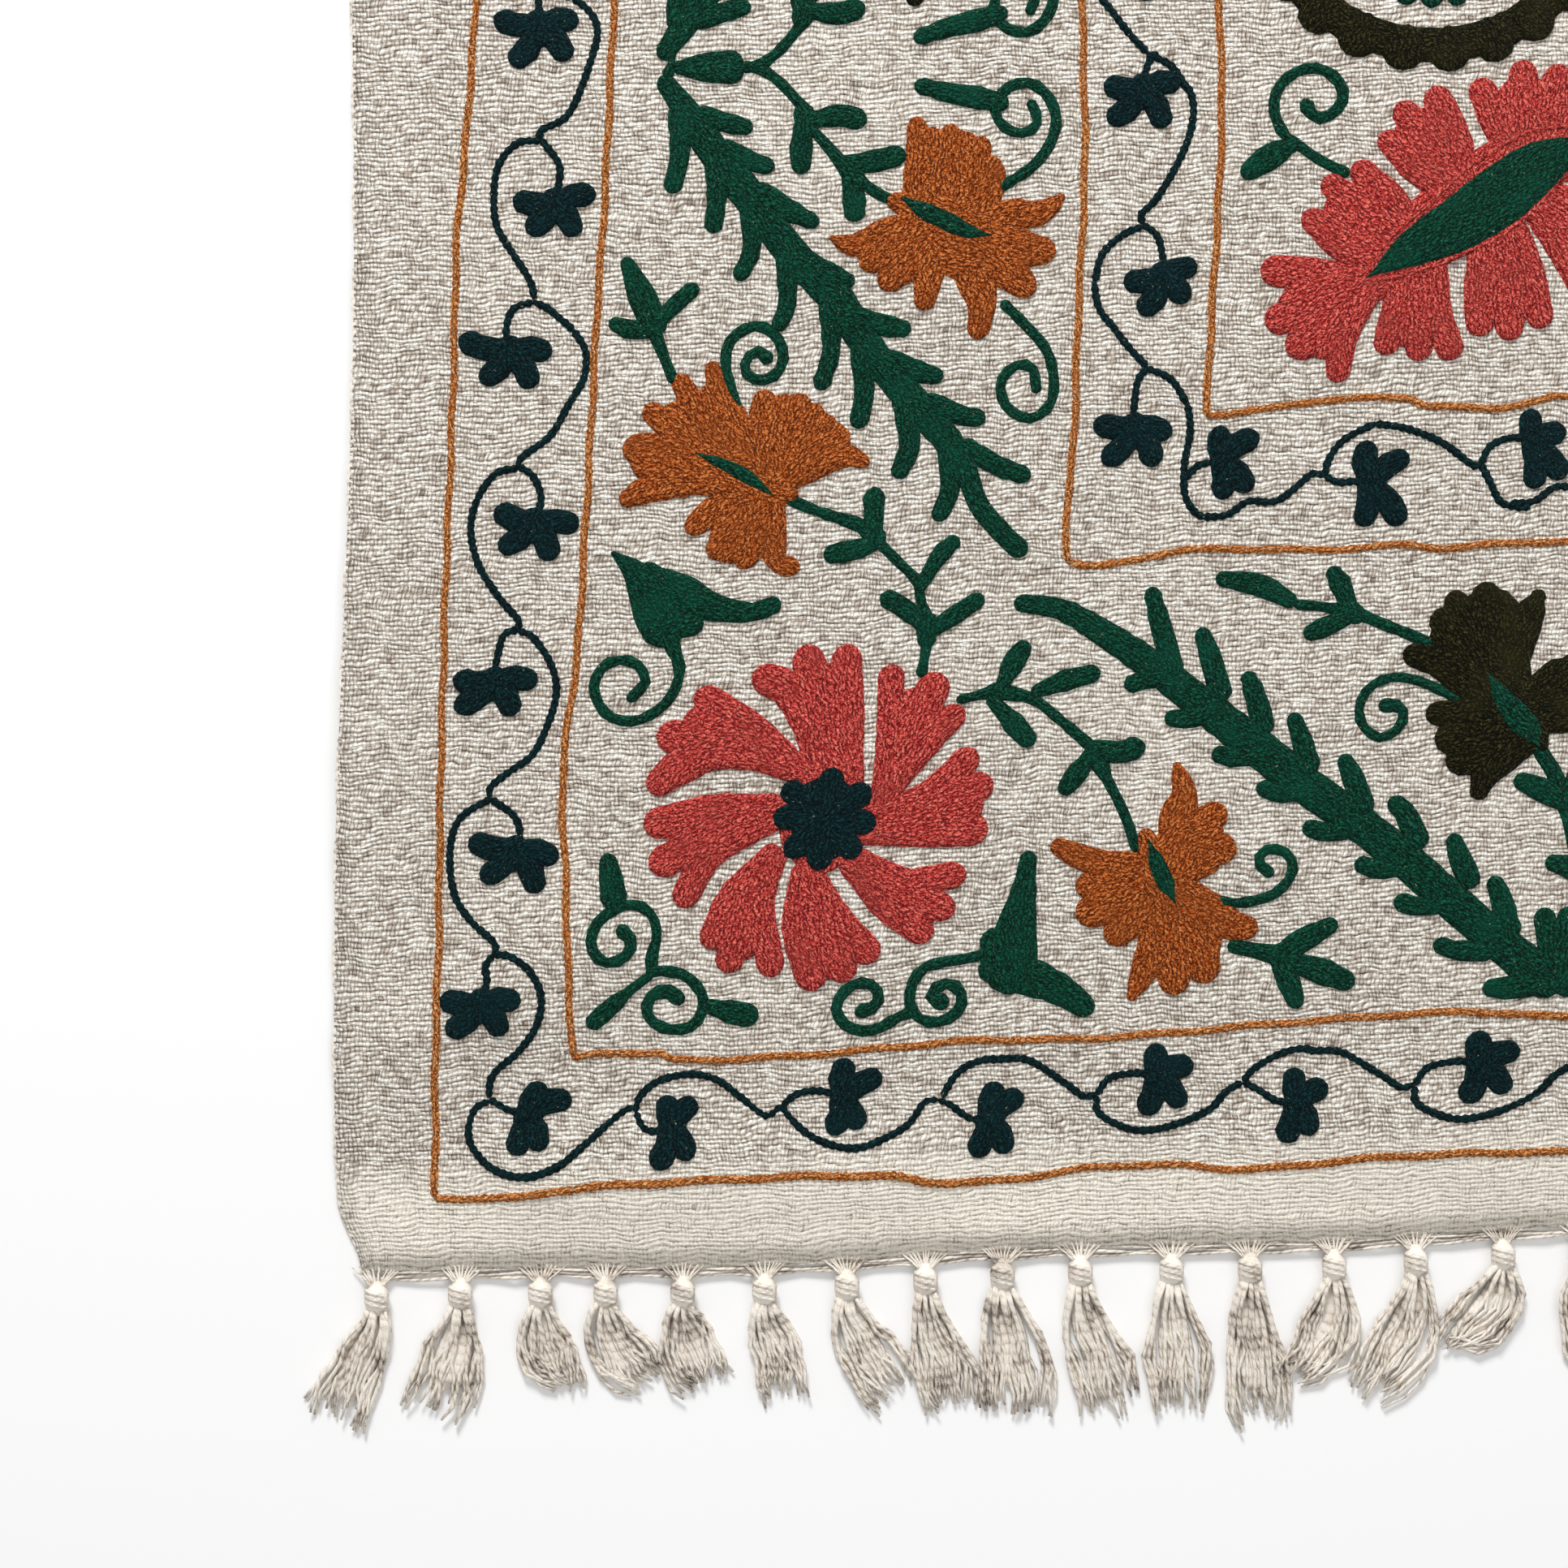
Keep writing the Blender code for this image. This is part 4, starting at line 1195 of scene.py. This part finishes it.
def loose_wefts(joined, template, front):
    """Three loose weft yarns along the hem, outside the last woven row."""
    out = -1 if front else 1
    for k in range(3):
        x = np.linspace(-0.4935 + 0.001 * k, 0.4885 - 0.001 * k, 300)
        y = hem_y(x, front) + out * (0.3 + 0.95 * k + 0.35 * np.sin(x * (170 + 60 * k) + k)) * MM
        z = np.full_like(x, 0.75 * MM) + 0.3 * MM * np.sin(x * 310 + 2 * k)
        size = 0.50 * MM * (1 + 0.2 * np.sin(x * 730 + k))
        add_tube(joined, template, np.stack((x, y, z), axis=1), size, size)


def knot_and_gather(joined, knot, thread, x0, y0, out, chance):
    """One knot, and the warp ends that run into it from the hem."""
    reach = np.array([-0.6 * MM] + [s["reach"] for s in KNOT_SECTIONS] + [8.2 * MM])
    wide = np.array([1.5 * MM] + [s["width"] / 2 for s in KNOT_SECTIONS] + [2.0 * MM])
    high = np.array([1.0 * MM] + [s["height"] / 2 for s in KNOT_SECTIONS] + [1.3 * MM])
    ease = np.linspace(reach[0], reach[-1], KNOT_POINTS)
    wide, high = np.interp(ease, reach, wide), np.interp(ease, reach, high)
    path = np.stack((np.full(KNOT_POINTS, x0), y0 + out * ease, high + 0.1 * MM), axis=1)
    add_tube(joined, knot, path, wide * 1.03, high * 1.03, 0.4)
    for middle in WRAPS:
        angle = np.linspace(-1.35, 1.35, 6)
        x = x0 + 3.05 * MM * np.sin(angle)
        y = y0 + out * (middle + 0.8 * np.sin(angle)) * MM
        z = (2.2 + 2.35 * np.cos(angle)) * MM
        size = np.full(6, 0.62 * MM)
        add_tube(joined, thread, np.stack((x, y, z), axis=1), size, size)
    t = np.linspace(0, 1, 6)
    for k in range(GATHERED):
        share = 2 * k / (GATHERED - 1) - 1 + chance.uniform(-0.1, 0.1)
        x = x0 + share * (6.6 * (1 - t) ** 1.2 + 1.2 * t) * MM
        start = -STRIP_OUT - 2.4 * MM * (1 - abs(share) * 0.5)
        y = y0 + out * (start * (1 - t) + 1.2 * MM * t)
        z = (0.85 + 1.15 * t**1.5 + 0.25 * np.sin(np.pi * t)) * MM
        size = np.linspace(0.20, 0.56, 6) * MM
        add_tube(joined, thread, np.stack((x, y, z), axis=1), size, size)


def walk(start, heading, run):
    """Places along a run in equal steps; heading is the share of each step that counts."""
    return start + np.concatenate(([0], np.cumsum(heading[1:]))) * run / (YARN_POINTS - 1)


def loose_ends(joined, yarn, core, x0, y0, out, row, chance):
    """The yarns of one tassel: clumps that part and curl towards their ends."""
    _, lean, length, bulge, spread, curl = row
    t = np.linspace(0, 1, YARN_POINTS)
    turn = np.radians(lean * smooth(t * 3) + curl * 2 * np.maximum(0, t - 0.25))
    run = 0.8 * (length - 7.0) * MM
    x = walk(x0, np.sin(turn), run)
    y = walk(y0 + out * 6.5 * MM, out * np.cos(turn), run)
    wide = (1.5 + 0.55 * spread * t + 0.5 * bulge * np.sin(np.pi * t)) * MM * (1 - 0.4 * t**4)
    path = np.stack((x, y, np.full(YARN_POINTS, 0.7 * MM)), axis=1)
    add_tube(joined, core, path, wide, np.full(YARN_POINTS, 0.5 * MM))
    for clump in range(CLUMPS):
        side = 2 * clump / (CLUMPS - 1) - 1 + chance.uniform(-0.15, 0.15)
        reach = (length - 7.0) * chance.uniform(0.90, 1.06) * MM
        phase, waves = chance.uniform(0, 6.3), chance.uniform(0.9, 1.8)
        turn = lean * smooth(t * 3) + curl * 2 * np.maximum(0, t - 0.25)
        turn = np.radians(turn + side * bulge * 6.5 * np.cos(np.pi * t * 0.95))
        for k in range(YARNS_IN_CLUMP):
            share = 2 * k / (YARNS_IN_CLUMP - 1) - 1 + chance.uniform(-0.2, 0.2)
            run = reach * chance.uniform(0.88, 1.04)
            fray, own = chance.uniform(-1, 1), chance.uniform(0, 6.3)
            x = walk(x0, np.sin(turn), run)
            y = walk(y0 + out * 7.0 * MM, out * np.cos(turn), run)
            across = side * (1.9 + 0.75 * spread * t)
            across = across + 0.6 * np.sin(math.tau * waves * t + phase) * smooth(t * 2)
            across = across + share * (0.5 + 1.5 * t) * np.cos(3.6 * t + own / 4) + fray * 1.5 * t**3
            across = across + 0.5 * np.sin(math.tau * 2.6 * t + own) * smooth(t * 2)
            x = x + np.cos(turn) * across * MM
            y = y - out * np.sin(turn) * across * MM
            layer = (k + clump) % 3
            z = 0.55 + 0.85 * layer * (1 - 0.5 * t) + 1.0 * (1 - smooth(t * 3)) + 0.2 * np.sin(9 * t + phase)
            size = YARN_HALF * (1 - 0.45 * t**5) * chance.uniform(0.8, 1.12)
            add_tube(joined, yarn, np.stack((x, y, z * MM), axis=1), size, size)


def make_fringe(name, front, material):
    """One hem's fringe: loose weft yarns, and warp ends gathered and knotted into tassels."""
    chance = np.random.default_rng(7 if front else 8)
    out = -1 if front else 1
    yarn, thread = tube_template("yarn", 7, 4), tube_template("thread", 4, 3)
    knot, weft = tube_template("knot", 8, 10), tube_template("weft", 160, 3)
    joined = bmesh.new()
    loose_wefts(joined, weft, front)
    for row in tassel_table(front):
        x0 = row[0] * MM - WIDTH / 2
        y0 = hem_y(x0, front) + out * STRIP_OUT
        knot_and_gather(joined, knot, thread, x0, y0, out, chance)
        loose_ends(joined, yarn, knot, x0, y0, out, row, chance)
    made = bpy.data.meshes.new(name)
    joined.to_mesh(made)
    joined.free()
    piece = add_object(name, made, material)
    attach(piece, "root")
    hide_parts("front_fringe" if front else "back_fringe")
    return piece


def fringe_material():
    """Loose two-ply cotton: the uv map holds the place along and around a yarn."""
    m = Shader("fringe_yarn", rough=0.95, specular=0.1)
    place = m.place()
    along, around, _ = m.split(m.place("stitch"))
    ply = m.math("MULTIPLY_ADD", along, 1 / PLY_LENGTH, around)
    ply = m.math("ABSOLUTE", m.math("SINE", m.math("MULTIPLY", ply, math.pi)))
    fibre = m.noise(place, 2600.0, 2.0, 0.7)
    patch = m.noise(place, 160.0, 2.0)
    height = m.math("MULTIPLY_ADD", m.math("SUBTRACT", fibre, 0.5), 0.9, m.math("MULTIPLY", ply, 0.4))
    lit = m.math("MULTIPLY_ADD", height, 0.45, 0.3)
    tone = m.math("MULTIPLY_ADD", m.math("SUBTRACT", patch, 0.5), 0.8, lit)
    stops = ((0.08, (84, 73, 66)), (0.25, (196, 184, 171)), (0.43, (245, 236, 223)), (0.8, (255, 251, 244)))
    colour = m.ramp(tone, *stops)
    return m.finish(colour, height, 0.0004, 0.7)


FLOOR_SIZE = 8
FLOOR_DROP = 0.2 * MM
LIGHT_AIM = Vector((-0.3, -0.3, 0.0))
LIGHTS = (
    {"name": "key_light", "place": (-0.7, 1.3, 1.1), "size": 0.5, "power": 34.0},
    {"name": "fill_light", "place": (0.6, -0.6, 2.2), "size": 1.6, "power": 8.0},
)


def floor_and_light():
    """Plain pale floor, and soft light that comes mostly from the back of the cloth."""
    bpy.context.scene.view_settings.view_transform = "Standard"
    mesh = grid_mesh("floor", 1, 1)
    set_coordinates(mesh, coordinates(mesh) * FLOOR_SIZE - np.array((0, 0, FLOOR_DROP)))
    m = Shader("pale_floor", rough=0.9, specular=0.1)
    floor = add_object("floor", mesh, m.finish(tint((252, 252, 252))))
    world = bpy.data.worlds.new("soft_room")
    world.use_nodes = True
    world.node_tree.nodes["Background"].inputs["Color"].default_value = (1.0, 1.0, 1.0, 1.0)
    world.node_tree.nodes["Background"].inputs["Strength"].default_value = 0.50
    bpy.context.scene.world = world
    for row in LIGHTS:
        lamp = bpy.data.lights.new(row["name"], "AREA")
        lamp.size = row["size"]
        lamp.energy = row["power"]
        light = bpy.data.objects.new(row["name"], lamp)
        light.location = row["place"]
        aim = LIGHT_AIM - light.location
        light.rotation_euler = aim.to_track_quat("-Z", "Y").to_euler()
        bpy.context.scene.collection.objects.link(light)


# Middle of the round motif, in mm
MEDALLION = from_photo([MEDALLION_IN_PHOTO])[0] / MM


def rosette(name, count, inner, outer, width, turn=0.0, level=0.0):
    """Blades around the round motif's middle, from the inner to the outer radius; sizes are in mm."""
    made = Stitching(name)
    for k in range(count):
        angle = math.tau * (k + turn) / count
        ray = np.array((math.cos(angle), math.sin(angle)))
        rows = [(*(MEDALLION + ray * radius) * MM, width * MM) for radius in (inner, outer)]
        made.blade(rows, level)
    return made.mesh()


def ring(name, radius, width):
    """A band around the round motif's middle; sizes are in mm."""
    made = Stitching(name)
    angles = np.linspace(0, math.tau, 49)
    right = MEDALLION[0] + radius * np.cos(angles)
    up = MEDALLION[1] + radius * np.sin(angles)
    rows = np.column_stack((right, up, np.full_like(right, width)))
    made.blade(rows * MM)
    return made.mesh()


def look_down():
    """Camera straight over the front left corner, as in the photo."""
    lens = bpy.data.cameras.new("camera")
    lens.lens = LENS
    lens.sensor_width = SENSOR
    camera = bpy.data.objects.new("camera", lens)
    camera.location = (*CAMERA_OVER, SHOWN_WIDTH * LENS / SENSOR + CAMERA_RAISE)
    bpy.context.scene.collection.objects.link(camera)
    bpy.context.scene.camera = camera


ground = make_ground()

# Yarns: the painted-shade, middle and painted-highlight colours of a stitch, the colour of random soft
# patches, and the share of gaps
teal = yarn_material("dark_teal_yarn", (0, 12, 16), (2, 34, 38), (18, 66, 66), (6, 44, 48), 0.27)
green = yarn_material("green_yarn", (0, 30, 20), (2, 64, 46), (26, 102, 76), (4, 78, 58), 0.27)
coral = yarn_material("coral_yarn", (118, 26, 28), (208, 68, 62), (255, 142, 124), (166, 60, 54))
orange = yarn_material("orange_yarn", (96, 38, 6), (178, 84, 28), (236, 152, 86), (146, 72, 28))
line_colours = (128, 66, 20), (206, 122, 56), (250, 200, 140), (184, 104, 48)
line_orange = yarn_material("orange_line_yarn", *line_colours, 0.34)
olive = yarn_material("olive_yarn", (5, 5, 0), (25, 24, 4), (74, 70, 32), (48, 44, 15))

# The border's repeats along the sides and along the hems, and the pitch of its vines' runs, in mm
SIDE_REPEAT = 386.6
HEM_REPEAT = 379.4
OUTER_SIDE_RUN = 91.5
OUTER_HEM_RUN = 84.4
INNER_SIDE_RUN = 84.7
INNER_HEM_RUN = 80.4

LEFT_NEAR, LEFT_FAR = four(), four(SAME, (1000 - SIDE_REPEAT, -1))
BOTTOM_NEAR, BOTTOM_FAR = four(), four((1000 - HEM_REPEAT, -1), SAME)
LEFT, BOTTOM = LEFT_NEAR + LEFT_FAR, BOTTOM_NEAR + BOTTOM_FAR
ROSETTES = four() + four(SAME, (SIDE_REPEAT, 1))[::2] + four((HEM_REPEAT, 1), SAME)[:2]


def runs(shift, pitch, scale, count, along_hem=False):
    """The first run of a vine and the count of runs that follow it to the middle of the side."""
    places = [SAME] + [(shift + pitch * k, scale) for k in range(count)]
    return [m for p in places for m in (four(p, SAME) if along_hem else four(SAME, p))]


OUTER_LEFT = runs(63.1, OUTER_SIDE_RUN, 1.09, 2)
OUTER_BOTTOM = runs(67.2, OUTER_HEM_RUN, 1.07, 3, along_hem=True)
INNER_LEFT_A, INNER_LEFT_B = (runs(70.8, INNER_SIDE_RUN, 1.047, n) for n in (3, 2))
INNER_BOTTOM_A, INNER_BOTTOM_B = (runs(71.7, INNER_HEM_RUN, 1.029, n, along_hem=True) for n in (3, 2))
OUTER_TOP_LEAVES = four() + four(SAME, (OUTER_SIDE_RUN, 1))
INNER_TOP_LEAVES = four() + four(SAME, (INNER_SIDE_RUN, 1)) + four(SAME, (2 * INNER_SIDE_RUN, 1))

motif("guard_lines", four(), line_orange, chains=GUARD_LINES, width=GUARD_WIDTH)

# Vines and leaf stems, then guard leaves: name, table, placings
VINES = (
    ("outer_vine_corner", OUTER_VINE_CORNER + INNER_VINE_CORNER + CORNER_LEAF_STEMS, four()),
    ("outer_vine_side", OUTER_VINE_LEFT, OUTER_LEFT),
    ("outer_vine_hem", OUTER_VINE_BOTTOM, OUTER_BOTTOM),
    ("inner_vine_side_a", INNER_VINE_LEFT_A, INNER_LEFT_A),
    ("inner_vine_side_b", INNER_VINE_LEFT_B, INNER_LEFT_B),
    ("inner_vine_hem_a", INNER_VINE_BOTTOM_A, INNER_BOTTOM_A),
    ("inner_vine_hem_b", INNER_VINE_BOTTOM_B, INNER_BOTTOM_B),
    ("leaf_stems_side", STEMS_OUTER_LEFT, OUTER_TOP_LEAVES),
    ("leaf_stems_inner", STEMS_INNER_LEFT, INNER_TOP_LEAVES),
)
for name, rows, maps in VINES:
    motif(name, maps, teal, chains=rows, width=VINE_WIDTH)
LEAVES = (
    ("corner_leaves", CORNER_LEAVES, four()),
    ("outer_side_leaves", LEAVES_OUTER_LEFT[:1], OUTER_LEFT),
    ("outer_side_leaves_next", LEAVES_OUTER_LEFT[1:], OUTER_TOP_LEAVES),
    ("outer_hem_leaves", LEAVES_OUTER_BOTTOM, OUTER_BOTTOM),
    ("inner_side_leaves", LEAVES_INNER_LEFT[:1], INNER_LEFT_B),
    ("inner_side_leaves_next", LEAVES_INNER_LEFT[1:], INNER_TOP_LEAVES),
    ("inner_hem_leaves_a", LEAVES_INNER_BOTTOM[:1], INNER_BOTTOM_A),
    ("inner_hem_leaves_b", LEAVES_INNER_BOTTOM[1:], INNER_BOTTOM_B),
)
for name, rows, maps in LEAVES:
    motif(name, maps, teal, leaves=rows)

# The border's flowers, sprays and sprigs
SLITS_SIDE, SLIT_LOWER, SLIT_OLIVE = FLOWER_SLITS[:2], FLOWER_SLITS[2:3], FLOWER_SLITS[3:]
motif("flower_by_rosette", LEFT_NEAR, orange, blades=FLOWER_BY_ROSETTE)
motif("flower_by_rosette_far", LEFT_FAR, olive, blades=FLOWER_BY_ROSETTE)
motif("flower_upper", LEFT_NEAR, orange, blades=FLOWER_UPPER)
motif("flower_upper_far", LEFT_FAR, olive, blades=FLOWER_UPPER)
motif("flower_lower", BOTTOM_NEAR, orange, blades=FLOWER_LOWER)
motif("flower_lower_far", BOTTOM_FAR, olive, blades=FLOWER_LOWER)
motif("olive_flower", BOTTOM_NEAR, olive, blades=OLIVE_FLOWER)
motif("sprig_below_olive", BOTTOM_NEAR, green, blades=SPRIG_BELOW_OLIVE, cords=STEM_BELOW_OLIVE)
motif("rosettes", ROSETTES, coral, blades=ROSETTE_PETALS)
motif("rosette_hearts", ROSETTES, teal, blades=ROSETTE_HEART, level=ON_PETALS)
motif("leaf_spray_side", LEFT, green, blades=LEAF_SPRAY_LEFT)
motif("leaf_spray_hem", BOTTOM, green, blades=LEAF_SPRAY_BOTTOM)
motif("sprigs_side", LEFT, green, blades=SPRIGS_LEFT, cords=STEMS_LEFT)
motif("sprigs_hem", BOTTOM, green, blades=SPRIGS_BOTTOM, cords=STEMS_BOTTOM)
motif("sprigs_corner", four(), green, blades=SPRIG_CORNER, cords=STEMS_CORNER)
motif("slits_side", LEFT, green, blades=SLITS_SIDE, level=SLIT_LEVEL)
motif("slits_hem", BOTTOM, green, blades=SLIT_LOWER, level=SLIT_LEVEL)
motif("slit_olive", BOTTOM_NEAR, green, blades=SLIT_OLIVE, level=SLIT_LEVEL)

# The field's flowers and round motifs
motif("field_flowers", four(), coral, blades=FIELD_PETALS)
motif("field_slits", four(), green, blades=FIELD_SLIT, level=ON_PETALS)
band = ring("medallion_band", radius=43.7, width=9.4)
sewn("medallion_band", band, four(), olive)
scallops = rosette("medallion_scallops", count=24, inner=44.9, outer=45.1, width=12.0, turn=0.25)
sewn("medallion_scallops", scallops, four(), olive)
band = ring("medallion_ring", radius=28.6, width=6.4)
sewn("medallion_ring", band, four(), green)
scallops = rosette("medallion_inner_scallops", count=30, inner=30.0, outer=31.0, width=6.0, turn=0.3)
sewn("medallion_inner_scallops", scallops, four(), green)
petals = rosette("medallion_petals", count=10, inner=7.0, outer=15.5, width=8.6)
sewn("medallion_petals", petals, four(), coral)
heart = rosette("medallion_heart", count=8, inner=0.5, outer=3.4, width=5.0, level=SLIT_LEVEL)
sewn("medallion_heart", heart, four(), teal)

# The middle of the field, which the photo doesn't show: where the rosette's own middle is in the border, in
# mm, then (place along the hem, scale) of the three in the field
ROSETTE_RIGHT, ROSETTE_UP = 120.6, 113.4
MIDDLE = [
    ((place - ROSETTE_RIGHT * scale, scale), (500 - ROSETTE_UP * scale, scale))
    for place, scale in ((500, 1.35), (266, 0.85), (734, 0.85))
]
motif("middle_rosettes", MIDDLE, coral, blades=ROSETTE_PETALS)
motif("middle_rosette_hearts", MIDDLE, teal, blades=ROSETTE_HEART, level=ON_PETALS)
BY_SPRAY, BY_MEDALLION, BY_MIDDLE = four((160, 1), (300, 1)), four((245, 1), (20, 1)), four((362, 1), (96, 1))
motif("middle_sprays", BY_SPRAY, green, blades=LEAF_SPRAY_BOTTOM)
motif("middle_flowers_a", BY_SPRAY, orange, blades=FLOWER_LOWER)
motif("middle_slits_a", BY_SPRAY, green, blades=SLIT_LOWER, level=SLIT_LEVEL)
motif("middle_flowers_b", BY_MEDALLION, orange, blades=FLOWER_UPPER)
motif("middle_slits_b", BY_MEDALLION, green, blades=SLITS_SIDE[1:], level=SLIT_LEVEL)
motif("middle_curls", BY_MEDALLION, green, cords=STEMS_LEFT[3:5])
motif("middle_flowers_c", BY_MIDDLE, olive, blades=FLOWER_BY_ROSETTE)
motif("middle_slits_c", BY_MIDDLE, green, blades=SLITS_SIDE[:1], level=SLIT_LEVEL)
motif("middle_sprigs", BY_MIDDLE, green, blades=SPRIGS_LEFT[:3], cords=STEMS_LEFT[1:3])
motif("field_slit_edges", four(), coral, chains=FIELD_SLIT_EDGE, width=EDGE_WIDTH, level=ON_PETALS)
motif("field_sprigs", four(), green, blades=FIELD_SPRIG, cords=FIELD_STEMS)

fringe_cotton = fringe_material()
selvedge = Stitching("selvedge_cord")
selvedge.chain([(0.2 * MM, v) for v in np.linspace(1 * MM, LENGTH / 2, 40)], 1.5 * MM, -0.5 * MM, 0.8 * MM)
sewn("selvedge_cords", selvedge.mesh(), four(), fringe_cotton)
fringes = [
    make_fringe("knotted_fringe_front", True, fringe_cotton),
    make_fringe("knotted_fringe_back", False, fringe_cotton),
]
floor_and_light()
look_down()
